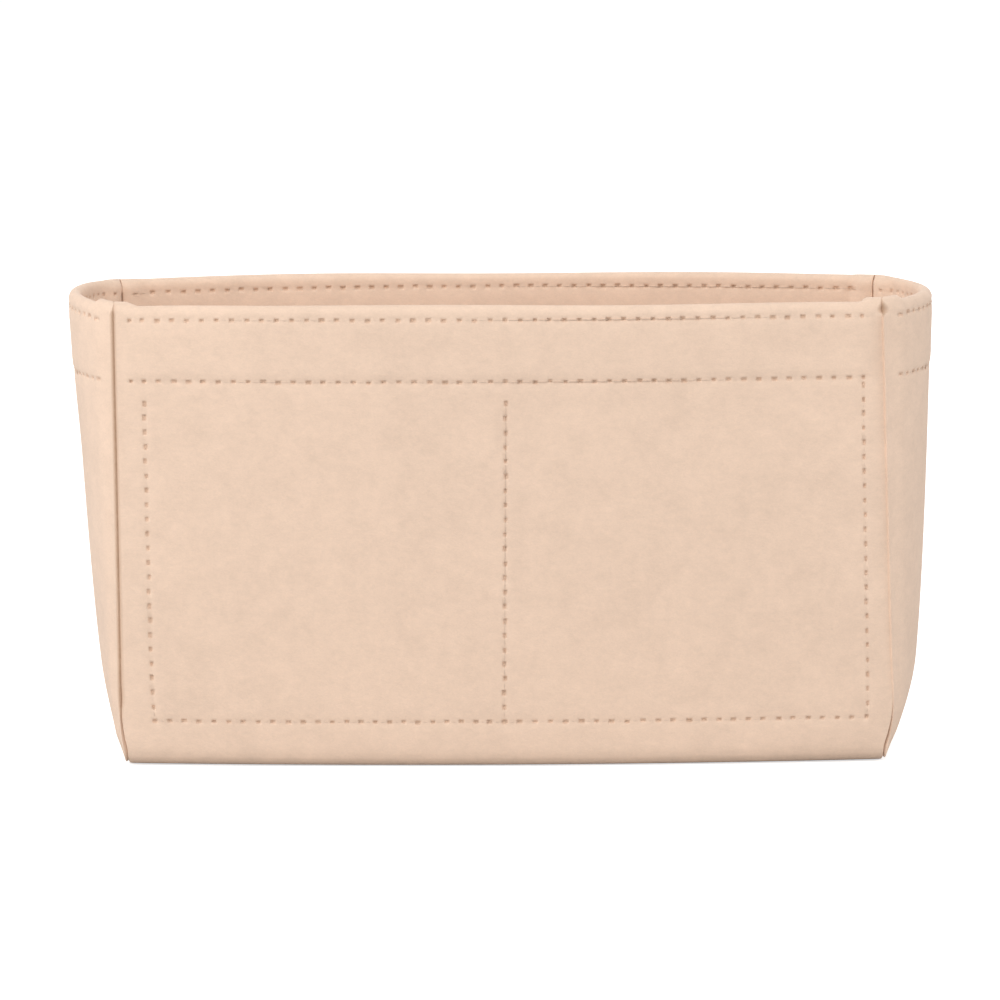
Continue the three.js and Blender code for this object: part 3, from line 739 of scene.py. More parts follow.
def squared_bend(f, x, y, z):
    """Presses the quarter circles under the walls squarer. Seen from the bend's centre at
    an angle t below the outward direction, the distance of every layer grows as that of a
    rational quadratic curve of weight w does: 2 (4 w^2 - 1) / (b + (b^2 + 4 a (4 w^2 -
    1))^0.5), with a = (cos t + sin t)^2 - 4 w^2 cos t sin t, b = 2 (cos t + sin t)
    (2 w^2 - 1)."""
    centre = wall_half_depth(f, x, f.bend_radius) - f.bend_mid_radius
    out, down = np.maximum(np.abs(y) - centre, 0), np.maximum(f.bend_radius - z, 0)
    inside = (out > 0) & (down > 0)
    size = np.where(inside, np.hypot(out, down), 1.0)
    total = np.where(inside, (out + down) / size, 1.0)
    product = np.where(inside, out * down / size ** 2, 0.0)
    most = 4 * f.bend_press ** 2 - 1
    a = total ** 2 - (most + 1) * product
    b = total * (most - 1)
    growth = 2 * most / (b + np.sqrt(b ** 2 + 4 * a * most))
    y = np.where(inside, np.sign(y) * (centre + out * growth), y)
    return y, np.where(inside, f.bend_radius - down * growth, z)


def lean_over(f, points):
    """The last change of every piece: the inner corners of the rim are pressed outward,
    the front seams are drawn inward, the back rim stands a little to the left, the lower
    corners are drawn in, and the whole soft box leans to the left as it rises."""
    x, y, z = points[..., 0], points[..., 1], points[..., 2]
    y, z = squared_bend(f, x, y, z)
    far = np.abs(x)
    behind = wall_half_depth(f, f.width / 2, f.height) + f.felt / 2 - np.abs(y)
    beside = gusset_out(f, y, z) + f.felt / 2 - far
    deep_shade = fade(np.minimum(behind, beside), *INNER_DEEP)
    outward = f.corner_press * deep_shade * fade(far, *INNER_ACROSS) * fade(z, *INNER_UP)
    near = wall_half_depth(f, f.width / 2, z) + f.felt / 2 + y
    seam = smooth_share(DRAWN_SHARE - near / DRAWN_DEPTH) * fade(far, *DRAWN_ACROSS)
    outward = outward - f.front_draw * seam * fade(z, *DRAWN_UP)
    right = f.right_tuck * foot_share(z, RIGHT_TUCK_HEIGHT)
    left = f.left_tuck * foot_share(z, LEFT_TUCK_HEIGHT)
    outward = outward - np.where(x > 0, right, left) * far / (f.width / 2)
    leftward = f.lean * z / f.height + f.back_shift * fade(y, *SHIFTED_BACK) * fade(z, *SHIFTED_UP)
    return np.stack([x + np.sign(x) * outward - leftward, y, z], -1)


def triangles(a, b, c, d):
    """Two triangles for each four corners, which are given in turn."""
    a, b, c, d = (np.ravel(part) for part in np.broadcast_arrays(a, b, c, d))
    return [np.stack([a, b, c], -1), np.stack([a, c, d], -1)]


def ring_cells(rings):
    """Corners of the cells between neighbouring rings, each a closed loop of points."""
    turned = np.roll(rings, -1, 2)
    return rings[:, :-1], turned[:, :-1], turned[:, 1:], rings[:, 1:]


class Sheet:
    """A closed sheet of felt from a grid of rows and columns with an outer and an inner
    face, in which rectangles of cells may give way to needle holes."""

    def __init__(self, outer, inner, crease, last_is_cut=True, hole_shade=1.0):
        self.last_is_cut, self.hole_shade = last_is_cut, hole_shade
        self.rows, self.columns = outer.shape[:2]
        self.points = [outer.reshape(-1, 3), inner.reshape(-1, 3)]
        self.crease = [crease.ravel(), crease.ravel()]
        self.kept = np.ones((2, self.rows - 1, self.columns - 1), bool)
        self.faces = []

    def index(self, face, row, column):
        return (face * self.rows + row) * self.columns + column

    def cells(self, face, a, b, c, d):
        """Cells of the outer face are given outward, and those of the inner one turn."""
        self.faces += triangles(a, b, c, d) if face == OUTER else triangles(a, d, c, b)

    def needle_holes(self, face, spots, place, radii, random):
        """Replaces rectangles of cells, given as spans of rows and columns, by holes. Each
        hole is rings of as many points as the rectangle's rim, at the same angles, that
        shrink and sink towards a middle point. place gives the rings from their rims."""
        groups = {}
        for (top, bottom), (left, right) in spots:
            groups.setdefault((bottom - top, right - left), []).append((top, left))
        for (tall, wide), corners in groups.items():
            self.holes_of_one_size(face, tall, wide, np.array(corners), place, radii, random)

    def holes_of_one_size(self, face, tall, wide, corners, place, radii, random):
        top, left = corners[:, :1], corners[:, 1:]
        for row in range(tall):
            for column in range(wide):
                self.kept[face, top[:, 0] + row, left[:, 0] + column] = False
        down, right = np.arange(tall), np.arange(wide)
        rim_row = top + np.concatenate([0 * right, down, 0 * right + tall, tall - down])
        rim_column = left + np.concatenate([right, 0 * down + wide, wide - right, 0 * down])
        rings = place(rim_row, rim_column, radii, random)
        # The rings' painted shade grows with their depth and differs from hole to hole
        strength = self.hole_shade * random.uniform(*HOLE_SHADES, (len(rings), 1, 1))
        shade = RING_PAINTED_SHADE[None, :, None] * strength
        first = sum(len(part) for part in self.points)
        order = np.arange(rings[..., 0].size).reshape(rings.shape[:3]) + first
        tip = first + order.size + np.arange(len(rings))[:, None]
        self.points += [rings.reshape(-1, 3), rings[:, -1].mean(1)]
        self.crease += [np.broadcast_to(shade, order.shape).ravel(), shade[:, -1, 0]]
        rim = self.index(face, rim_row, rim_column)
        self.cells(face, *ring_cells(np.concatenate([rim[:, None, :], order], 1)))
        last = order[:, -1]
        turned = np.roll(last, -1, 1)
        fan = (last, turned, tip) if face == OUTER else (turned, last, tip)
        self.faces.append(np.stack(np.broadcast_arrays(*fan), -1).reshape(-1, 3))

    def cut_edge(self, near, far):
        """Cells from face to face, between two neighbouring places as row and column."""
        self.faces += triangles(
            self.index(OUTER, *near), self.index(OUTER, *far),
            self.index(INNER, *far), self.index(INNER, *near))

    def close(self):
        """Adds the faces of both sides and the cut edges round the sheet."""
        for face in (OUTER, INNER):
            row, column = np.nonzero(self.kept[face])
            around = ((row, column), (row, column + 1), (row + 1, column + 1), (row + 1, column))
            self.cells(face, *(self.index(face, *corner) for corner in around))
        row, column = np.arange(self.rows - 1), np.arange(self.columns - 1)
        last_row, last_column = self.rows - 1, self.columns - 1
        self.cut_edge((0, column + 1), (0, column))
        self.cut_edge((last_row, column), (last_row, column + 1))
        self.cut_edge((row, 0), (row + 1, 0))
        if self.last_is_cut:
            self.cut_edge((row + 1, last_column), (row, last_column))
        return np.concatenate(self.points), np.concatenate(self.faces), np.concatenate(self.crease)


def weld(points, faces, crease, grid=1e-4):
    """Points in one place become one, and triangles that shrink to a line go."""
    keys = np.round(points / grid).astype(np.int64)
    used = np.zeros(len(points), bool)
    used[faces.ravel()] = True
    keys[~used] = keys[faces[0, 0]]
    places, merged = np.unique(keys, axis=0, return_inverse=True)
    merged = merged.ravel()
    first = np.full(len(places), len(points))
    np.minimum.at(first, merged[used], np.nonzero(used)[0])
    faces = merged[faces]
    good = (faces != np.roll(faces, -1, 1)).all(1)
    return points[first], faces[good], crease[first]


def make_piece(name, points, faces, material, crease, uv=None):
    """A mesh object from points in millimetres, with its faces turned to point outward."""
    corners = points[faces]
    volume = np.einsum("ij,ij->i", corners[:, 0], np.cross(corners[:, 1], corners[:, 2])).sum()
    if volume < 0:
        faces = faces[:, ::-1]
    mesh = bpy.data.meshes.new(name)
    mesh.vertices.add(len(points))
    mesh.vertices.foreach_set("co", (points * MM).astype(np.float32).ravel())
    mesh.loops.add(faces.size)
    mesh.loops.foreach_set("vertex_index", faces.astype(np.int32).ravel())
    mesh.polygons.add(len(faces))
    mesh.polygons.foreach_set("loop_start", np.arange(0, faces.size, 3, dtype=np.int32))
    # The painted shade of seams, grooves, needle holes and thread ends, kept on the mesh
    attribute = mesh.attributes.new("crease", "FLOAT", "POINT")
    attribute.data.foreach_set("value", crease.astype(np.float32))
    if uv is not None:
        layer = mesh.uv_layers.new(name="UVMap")
        layer.data.foreach_set("uv", uv[faces].astype(np.float32).ravel())
    mesh.update(calc_edges=True)
    mesh.validate()
    mesh.shade_smooth()
    mesh.set_sharp_from_angle(angle=SHARP_ANGLE)
    mesh.materials.append(material)
    piece = bpy.data.objects.new(name, mesh)
    bpy.context.scene.collection.objects.link(piece)
    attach(piece, "root")
    return piece


def nearest(lines, value):
    return int(np.argmin(np.abs(lines - value)))


def hole_rings(rim_u, rim_v, radii, random):
    """Rings about the middle of a rectangle's rim, elongated along the sewn row and a
    little displaced. Gives their two parameters, ring by ring."""
    centre_u = (rim_u.min(1) + rim_u.max(1)) / 2
    centre_v = (rim_v.min(1) + rim_v.max(1)) / 2
    along, up = radii
    angle = np.arctan2((rim_v - centre_v[:, None]) / up, (rim_u - centre_u[:, None]) / along)
    stray = random.normal(0, HOLE_STRAY, (2, len(centre_u)))
    grow = 1 + random.uniform(-HOLE_GROWTH, HOLE_GROWTH, (len(centre_u), 1, 1))
    share = RING_SHARES[None, :, None] * grow
    u = (centre_u + stray[0])[:, None, None] + share * along * np.cos(angle)[:, None, :]
    v = (centre_v + stray[1])[:, None, None] + share * up * np.sin(angle)[:, None, :]
    return u, v


def unit(vectors):
    return vectors / np.linalg.norm(vectors, axis=-1, keepdims=True)


def stitch_tubes(centres, ups, radius, sides=6):
    """Tubes along short runs of points: in each ring the side points lie on a circle
    across the run, between the up direction and the one beside it. Ends are closed."""
    count, steps = centres.shape[:2]
    forward = unit(np.gradient(centres, axis=1))
    sideways = unit(np.cross(forward, ups))
    upward = np.cross(sideways, forward)
    angle = TURN * np.arange(sides) / sides
    ring = np.cos(angle)[:, None] * upward[:, :, None] + np.sin(angle)[:, None] * sideways[:, :, None]
    points = centres[:, :, None] + radius[..., None, None] * ring
    index = np.arange(points[..., 0].size).reshape(count, steps, sides)
    faces = triangles(*ring_cells(index))
    for fan in range(1, sides - 1):
        faces.append(np.stack([index[:, 0, 0], index[:, 0, fan + 1], index[:, 0, fan]], -1))
        faces.append(np.stack([index[:, -1, 0], index[:, -1, fan], index[:, -1, fan + 1]], -1))
    run = np.cumsum(np.linalg.norm(np.diff(centres, axis=1, prepend=centres[:, :1]), axis=-1), 1)
    around = np.broadcast_to(np.arange(sides) / sides, (count, steps, sides))
    along = np.broadcast_to(run[:, :, None], (count, steps, sides))
    uv = np.stack([along, around], -1).reshape(-1, 2)
    # Painted shade, darkest at the ends, where the thread sinks into its holes
    shade = np.interp(np.linspace(0, 1, steps), np.linspace(0, 1, len(STITCH_PAINTED_SHADE)), STITCH_PAINTED_SHADE)
    crease = np.broadcast_to(shade[None, :, None], (count, steps, sides)).ravel()
    return points.reshape(-1, 3), np.concatenate(faces), uv, crease


def stitches(f, runs, place, face, sunk=0.0):
    """Stitches between the needle holes of runs of (u, v) points: straight in the two
    parameters, sunk into a hole at both ends. face is one outside and minus one inside."""
    start = np.concatenate([run[:-1] for run in runs])
    end = np.concatenate([run[1:] for run in runs])
    u = mix(start[:, :1], end[:, :1], STITCH_SHARES)
    v = mix(start[:, 1:], end[:, 1:], STITCH_SHARES)
    lift = f.felt / 2 + np.broadcast_to(STITCH_LIFT - sunk, u.shape)
    centres = place(u, v, face * lift)
    above = place(u, v, face * (lift + STEP_UP))
    radius = f.thread_radius * STITCH_THICKNESS
    return stitch_tubes(centres, above - centres, np.broadcast_to(radius, u.shape))


def make_thread(node, parts, looks):
    """One piece of thread from several tubes, in place of a node of the frame."""
    points, faces, uv, crease = zip(*parts)
    starts = np.cumsum([0] + [len(part) for part in points[:-1]])
    faces = [part + start for part, start in zip(faces, starts)]
    points, faces, uv, crease = (np.concatenate(part) for part in (points, faces, uv, crease))
    material = painted("sewing_thread", sewing_thread, looks)
    piece = make_piece(node.replace("thread", "stitches"), points, faces, material, crease, uv)
    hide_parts(node)


def strip_holes_x(f):
    """Places of the needle holes along a level row of a wall: every second cell."""
    cells = f.detail.cells_across
    places = f.middle_row + 2 * f.cell_across * np.arange(-cells, cells)
    return places[np.abs(places) < f.half_panel - SEAM_MARGIN]


def upright_holes_z(f, top):
    """Heights of the needle holes of an upright row up to about a height."""
    places = f.foot_row + 2 * f.cell_up * np.arange(1, f.detail.cells_up)
    return places[places < top + ROW_HALF]


def pocket_hole_rows(f):
    """The needle holes of a pocket: across the foot row, and up the left and middle rows
    and the right one, which runs on."""
    across = strip_holes_x(f)
    foot = across[(across > f.left_row - ROW_HALF) & (across < f.right_row + ROW_HALF)]
    up = upright_holes_z(f, f.pocket_mouth)
    run_on = upright_holes_z(f, f.pocket_mouth + f.pocket_run_on)
    return foot, up, run_on


class Shader:
    """Adds nodes to a material or world, one method for every kind."""

    def __init__(self, owner):
        owner.use_nodes = True
        self.tree = owner.node_tree
        self.tree.nodes.clear()

    def node(self, kind, inputs=(), output=0, **options):
        """Adds a node: its settings first, then the values or links of its sockets. Gives
        the value of an output, or the node itself where output is None."""
        made = self.tree.nodes.new("ShaderNode" + kind)
        for key, value in options.items():
            setattr(made, key, value)
        for key, value in dict(inputs).items():
            socket = made.inputs[key]
            if isinstance(value, Value):
                self.tree.links.new(value.socket, socket)
            else:
                socket.default_value = value
        return made if output is None else Value(self, made.outputs[output])

    def noise(self, place, scale, detail=2.0, **more):
        return self.node("TexNoise", {"Vector": place, "Scale": scale, "Detail": detail, **more})

    def crease(self):
        """How much painted shade a place gets, deep in a seam, a groove or a needle hole, from the mesh.
        """
        return self.node("Attribute", output=2, attribute_name="crease")

    def blend(self, share, first, second):
        """A mix of two colours, each a value or red, green and blue."""
        first, second = (
            part if isinstance(part, Value) else (*part, 1.0) for part in (first, second))
        return self.node("Mix", {0: share, 6: first, 7: second}, 2, data_type="RGBA")


class Value:
    """A socket's value, on which Python's operators add Math nodes."""

    def __init__(self, shader, socket):
        self.shader, self.socket = shader, socket

    def math(self, operation, *others):
        inputs = {number: other for number, other in enumerate((self, *others))}
        return self.shader.node("Math", inputs, operation=operation)

    def __add__(self, other):
        return self.math("ADD", other)

    def __mul__(self, other):
        return self.math("MULTIPLY", other)

    def __sub__(self, other):
        return self.math("SUBTRACT", other)

    def __rsub__(self, other):
        return self.math("MULTIPLY", -1.0).math("ADD", other)

    __radd__ = __add__
    __rmul__ = __mul__

    def sine(self):
        return self.math("SINE")

    def bounded(self):
        return self.math("MINIMUM", 1.0).math("MAXIMUM", 0.0)


def painted(name, paint, looks):
    """The material of a name, which is painted when it is first asked for."""
    material = bpy.data.materials.get(name)
    if material is None:
        material = bpy.data.materials.new(name)
        shader = Shader(material)
        shader.node("OutputMaterial", {"Surface": paint(shader, looks)}, None)
    return material


def felt_cloth(shader, looks):
    """Pressed felt: fine fibres and faint blotches in colour and relief, and painted shade,
    darker and browner, deep in the seams, grooves and needle holes."""
    place = shader.node("TexCoord", output=3)
    grain = shader.node("Mapping", {"Vector": place, "Scale": (0.6, 0.6, 1.0)})
    blotch = shader.noise(grain, 620.0, 3.0, Roughness=0.6)
    fibre = shader.noise(grain, 2300.0, Roughness=0.7, Distortion=0.6)
    cloud = shader.noise(place, 34.0)
    patch = shader.noise(place, 150.0)
    tone = (blotch - 0.5) * 0.14 + (fibre - 0.5) * 0.16
    tone = tone + (cloud - 0.5) * 0.09 + (patch - 0.5) * 0.13 + 0.5
    dark, bright = (tuple(part * level for part in looks.felt_colour) for level in (0.5, 1.5))
    # Painted shade deep in seams, grooves and needle holes, a little uneven
    deep_shade = (shader.crease() * (0.86 + (blotch - 0.5) * 0.5)).bounded()
    base_colour = shader.blend(deep_shade, shader.blend(tone, dark, bright), looks.crease_colour)
    relief = fibre * 0.5 + blotch * 0.9 + cloud * 0.6
    normal = shader.node("Bump", {"Strength": 0.35, "Distance": 0.00022, "Height": relief})
    return shader.node("BsdfPrincipled", {
        "Base Color": base_colour, "Roughness": (fibre - 0.5) * 0.16 + 0.92, "Normal": normal,
        "Specular IOR Level": 0.18, "Sheen Weight": 0.12, "Sheen Roughness": 0.5,
    })


def sewing_thread(shader, looks):
    """Twisted sewing thread: slanting stripes in colour and relief along its own map."""
    parts = shader.node("SeparateXYZ", {"Vector": shader.node("TexCoord", output=2)}, None)
    along, around = Value(shader, parts.outputs[0]), Value(shader, parts.outputs[1])
    twist = ((along * 1.5 + around) * (2 * TURN)).sine() * 0.5 + 0.5
    fuzz = shader.noise(shader.node("TexCoord", output=3), 1800.0)
    dark = tuple(part * 0.8 for part in looks.thread_colour)
    base_colour = shader.blend((twist * 0.75 + fuzz * 0.35).bounded(), dark, looks.thread_colour)
    # Painted shade where the thread sinks into its holes
    base_colour = shader.blend(shader.crease(), base_colour, looks.crease_colour)
    normal = shader.node("Bump", {"Strength": 0.5, "Distance": 0.00012, "Height": twist + fuzz * 0.3})
    return shader.node("BsdfPrincipled", {
        "Base Color": base_colour, "Roughness": twist * -0.1 + 0.72, "Normal": normal,
        "Specular IOR Level": 0.25, "Sheen Weight": 0.1,
    })


def seen_directly(shader):
    """One for rays from the camera, in reflections and through, and none for the rest."""
    path = shader.node("LightPath", output=None)
    camera, glossy, through = (
        Value(shader, path.outputs[name])
        for name in ("Is Camera Ray", "Is Glossy Ray", "Is Transmission Ray"))
    return (camera + glossy + through).bounded()


def floor_paper(shader, looks):
    """To the camera the floor glows just enough to be white where it is lit, and keeps a
    share of the shadow; to the rest it is grey paper."""
    share = looks.floor_share
    pale = shader.node("BsdfDiffuse", {"Color": (FLOOR_GREY, FLOOR_GREY, FLOOR_GREY, 1)})
    weak = shader.node("BsdfDiffuse", {"Color": (share, share, share, 1)})
    glow = shader.node("Emission", {"Color": (1, 1, 1, 1), "Strength": 1.0 - share * looks.sky_level})
    white = shader.node("AddShader", {0: weak, 1: glow})
    return shader.node("MixShader", {0: seen_directly(shader), 1: pale, 2: white})


class ORGANIZER_OT_stage(bpy.types.Operator):
    """Makes the camera, the soft studio light and the white floor"""

    bl_idname = "organizer.stage"
    bl_label = "Camera, light and floor"
    bl_options = {"REGISTER", "UNDO"}

    def execute(self, context):
        scene, looks = context.scene, context.scene.organizer_looks
        self.camera(scene)
        self.sky(scene, looks)
        self.lamps(scene, looks)
        self.floor(scene, looks)
        return {"FINISHED"}

    def camera(self, scene):
        tilt, yaw, roll = (math.radians(angle) for angle in (CAMERA_TILT, CAMERA_YAW, CAMERA_ROLL))
        look = Vector((-math.sin(yaw) * math.cos(tilt), math.cos(yaw) * math.cos(tilt), -math.sin(tilt)))
        level = look.cross(Vector((0, 0, 1))).normalized()
        upright = level.cross(look)
        right = level * math.cos(roll) + upright * math.sin(roll)
        up = upright * math.cos(roll) - level * math.sin(roll)
        data = bpy.data.cameras.new("camera")
        data.sensor_width = SENSOR
        data.lens = CAMERA_FOCUS / PICTURE * SENSOR
        data.clip_end = 100.0
        camera = bpy.data.objects.new("camera", data)
        place = Vector(CAMERA_TARGET) * MM - look * CAMERA_DISTANCE * MM
        camera.matrix_world = Matrix.Translation(place) @ Matrix((right, up, -look)).transposed().to_4x4()
        scene.collection.objects.link(camera)
        scene.camera = camera
        scene.view_settings.view_transform = "Standard"

    def sky(self, scene, looks):
        """White to the camera and in reflections, and a plain light for the rest."""
        world = bpy.data.worlds.new("sky")
        scene.world = world
        shader = Shader(world)
        seen = seen_directly(shader)
        lit = shader.node("Background", {"Color": (1, 1, 1, 1), "Strength": looks.sky_level})
        white = shader.node("Background", {"Color": (1, 1, 1, 1), "Strength": 1.0})
        mixed = shader.node("MixShader", {0: seen, 1: lit, 2: white})
        shader.node("OutputWorld", {"Surface": mixed}, None)

    def lamps(self, scene, looks):
        for name, (place, size) in LAMPS.items():
            data = bpy.data.lights.new(name, "AREA")
            data.shape = "SQUARE"
            data.size = size
            data.energy = getattr(looks, name + "_level")
            lamp = bpy.data.objects.new(name, data)
            lamp.location = place
            aim = Vector(LAMP_AIM) - Vector(place)
            lamp.rotation_euler = aim.to_track_quat("-Z", "Y").to_euler()
            scene.collection.objects.link(lamp)

    def floor(self, scene, looks):
        signs = ((-1, -1), (1, -1), (1, 1), (-1, 1))
        corners = [(x * FLOOR_REACH, y * FLOOR_REACH, 0) for x, y in signs]
        mesh = bpy.data.meshes.new("floor")
        mesh.from_pydata(corners, [], [(0, 1, 2, 3)])
        mesh.materials.append(painted("floor_paper", floor_paper, looks))
        floor = bpy.data.objects.new("floor", mesh)
        scene.collection.objects.link(floor)


def strip_face(f, x, way, offset):
    """A point of the strip's finished surface at a signed x, a row and a distance from
    the felt's middle, with the stray of the middle row."""
    return lean_over(f, strip_point(f, way, x + strip_shift(f, x, way), -offset))


def leg_length(f, way):
    """Millimetres that one unit of the way stands for on a hem or a wall."""
    front, _ = front_way(way)
    return np.where(front < FOLD, f.fold_height - f.hem_edge, f.fold_height - f.bend_radius)


def level_spans(f, way, rows, hem=False):
    """First and last grid rows of the cells of level sewn rows on the front half. Each row
    is a height with the half cells below and above it."""
    leg = way < FOLD if hem else (way >= WALL) & (way <= BEND)
    heights = np.where(leg, nominal_height(f, way), np.inf)
    spans = []
    for z, below, above in rows:
        ends = nearest(heights, z - below), nearest(heights, z + above)
        spans.append((min(ends), max(ends)))
    return spans


def rim_row_spans(f, way):
    """The cells of the rim row and the hem row, on wall and hem, front and back."""
    half_up, half_band = f.cell_up / 2, f.cell_band / 2
    rows = [(f.rim_row, half_band, half_band), (f.hem_row, half_up, half_band)]
    spans = level_spans(f, way, rows) + level_spans(f, way, rows, hem=True)
    last = len(way) - 1
    return spans + [(last - end, last - start) for start, end in spans]


def column_span(lines, x, half, first=0):
    return nearest(lines, x - half) + first, nearest(lines, x + half) + first


def eased(rows, columns, last_is_cut):
    """Cut edges of the felt are a little rounded: there the faces lie closer together."""
    ease = np.ones((rows, columns))
    ease[[0, -1]] = CUT_EDGE_SHARE
    ease[:, 0] = CUT_EDGE_SHARE
    if last_is_cut:
        ease[:, -1] = CUT_EDGE_SHARE
    return ease


def finish_felt(sheet, name, node, looks, **cloth):
    """Closes a sheet and makes it the piece that stands for a node."""
    points, faces, crease = weld(*sheet.close())
    piece = make_piece(name, points, faces, painted("felt_cloth", felt_cloth, looks), crease)
    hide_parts(node)


def groove_shade(relief):
    """Painted shade, a little darker down in the groove of a sewn row."""
    return np.clip(-relief * GROOVE_SHADE, 0, 1)


def seam_shade(f, panel, right_share):
    """Painted shade: darkest between two turned edges, where no light comes in; pale over the
    rim, and at the right but for the notch."""
    _, shut = meeting_angle(f, panel.way)
    deep_shade = fade(-panel.along / f.turn_radius, *SHADE_DEEP)
    inner = np.where(panel.depth > SHADE_INSIDE * f.turn_radius, INSIDE_SHARE, 1.0)
    kept = 1 - SHUT_LOSS * shut
    share = np.where(panel.side < 0, kept, mix(right_share * kept, 1.0, rim_notch(f, panel.way)))
    return np.where(panel.flat, 0, deep_shade * inner) * share


def panel_sheet(f, looks, panel, surface, last_is_cut=True, hole_shade=1.0):
    """The sheet of a panel whose edges are turned in at the seams. surface puts a distance
    from the seam and a depth in space. The outer face is pressed against its neighbour's,
    and the rows' relief shows on the inner face as a part of it."""
    ease = eased(len(panel.way), len(panel.depth), last_is_cut)
    faces = []
    for face, share in ((1, 1), (-1, -INNER_RELIEF_SHARE)):
        offset = face * f.felt / 2 * ease + panel.waves + share * panel.relief
        run = panel.along + panel.normal_along * offset
        sink = panel.depth + panel.normal_depth * offset
        if face > 0:
            run, sink = pressed_edge(f, panel, offset)
        faces.append(lean_over(f, surface(run, sink)))
    # Painted shade in the grooves of the rows and between the turned edges
    crease = groove_shade(panel.relief) + seam_shade(f, panel, looks.right_seam_shade)
    return Sheet(*faces, crease + 0 * panel.way, last_is_cut, hole_shade)


def ring_placer(f, panel, across, relief, surface):
    """Gives the function that puts the rings of needle holes into a panel's outer face:
    across holds the grid's places along a row, relief is that of the rows, and surface
    puts such a place, a row and a distance from the felt's middle in space."""
    def place(rows, columns, radii, random):
        way = panel.way[rows, 0]
        leg = leg_length(f, way)
        u, v = hole_rings(across[rows, columns], way * leg, radii, random)
        v = v / leg[:, :1, None]
        waved = panel.waves[rows, columns].mean(1)[:, None, None]
        sunk = relief(u, v) + waved - RING_DEPTHS[None, :, None]
        return surface(u, v, f.felt / 2 + sunk)
    return place


class ORGANIZER_OT_strip(bpy.types.Operator):
    """Makes the strip of felt that is the front wall, the base and the back wall"""

    bl_idname = "organizer.strip"
    bl_label = "Front wall, base and back wall"
    bl_options = {"REGISTER", "UNDO"}

    def execute(self, context):
        f, looks = settings(context)
        edge, lines = turned_edge(f), across_lines(f)
        start, end = len(edge[0]), len(edge[0]) + len(lines)
        between = (f.half_panel - np.abs(lines), 0 * lines, 0 * lines, 0 * lines - 1)
        along, depth, normal_along, normal_depth = (
            np.concatenate([part, middle, part[::-1]]) for part, middle in zip(edge, between))
        column = np.arange(len(along))
        flat = (column >= start) & (column < end)
        side = np.where(flat, 0.0, np.where(column < start, -1.0, 1.0))
        side[start:end] = np.where(lines < 0, -1.0, 1.0)
        way = whole_way(f)[:, None]
        x = side * (f.half_panel - along)
        waves = soft_waves(x + BACK_WAVE_STEP * (way > MIDDLE), way, WAVE_HEIGHT)
        panel = SimpleNamespace(
            side=side, way=way, along=along, depth=depth, flat=flat,
            normal_along=normal_along, normal_depth=normal_depth,
            waves=waves * np.where(flat, fade(along, *WAVE_MARGIN), 0),
            relief=np.where(flat, strip_relief(f, x, way), 0))
        shift = np.where(flat, strip_shift(f, x, way), 0)

        def surface(run, sink):
            return strip_point(f, way, side * (f.half_panel - run) + shift, sink)

        sheet = panel_sheet(f, looks, panel, surface)
        self.holes(f, sheet, panel, lines, start)
        flat_width = 2 * (f.half_panel + (math.pi - 1) * f.turn_radius + f.seam_allowance)
        half_length = (
            2 * f.fold_height - f.hem_edge - f.bend_radius + math.pi * f.turn_radius
            + math.pi / 2 * f.bend_mid_radius + f.base_depth / 2 - f.bend_radius)
        finish_felt(sheet, "strip_felt", "body_strip", looks,
                    flat=(flat_width * MM, 2 * half_length * MM), held="folded", rests_on=["floor"])
        return {"FINISHED"}

    def holes(self, f, sheet, panel, lines, start):
        """Needle holes of the rim row and the hem row on walls and hems, and of the pocket
        rows, first on the front wall and then on the back wall."""
        way, last = panel.way[:, 0], len(panel.way) - 1

        def columns_at(x):
            return column_span(lines, x, f.cell_across / 2, start)

        def rows_at(heights):
            return level_spans(f, way, [(z, f.cell_up / 2, f.cell_up / 2) for z in heights])

        def turned(spots):
            """The back wall is the front wall turned round, so x changes its sign."""
            return [
                ((last - bottom, last - top),
                 columns_at(-(lines[left - start] + lines[right - start]) / 2))
                for (top, bottom), (left, right) in spots]

        random = np.random.default_rng(f.detail.seed)
        level = [(rows, columns_at(x)) for rows in rim_row_spans(f, way) for x in strip_holes_x(f)]
        foot, up, run_on = pocket_hole_rows(f)
        pocket_level = [(rows, columns_at(x)) for rows in rows_at([f.foot_row]) for x in foot]
        uprights = ((f.left_row, up), (f.middle_row, up), (f.right_row, run_on))
        upright = [(rows, columns_at(x)) for x, heights in uprights for rows in rows_at(heights)]
        across = np.zeros(panel.waves.shape)
        across[:, start:start + len(lines)] = lines
        place = ring_placer(f, panel, across, partial(strip_relief, f), partial(strip_face, f))
        sheet.needle_holes(OUTER, level + pocket_level, place, LEVEL_HOLE, random)
        sheet.needle_holes(OUTER, upright, place, UPRIGHT_HOLE, random)
        sheet.needle_holes(OUTER, turned(pocket_level), place, LEVEL_HOLE, random)
        sheet.needle_holes(OUTER, turned(upright), place, UPRIGHT_HOLE, random)


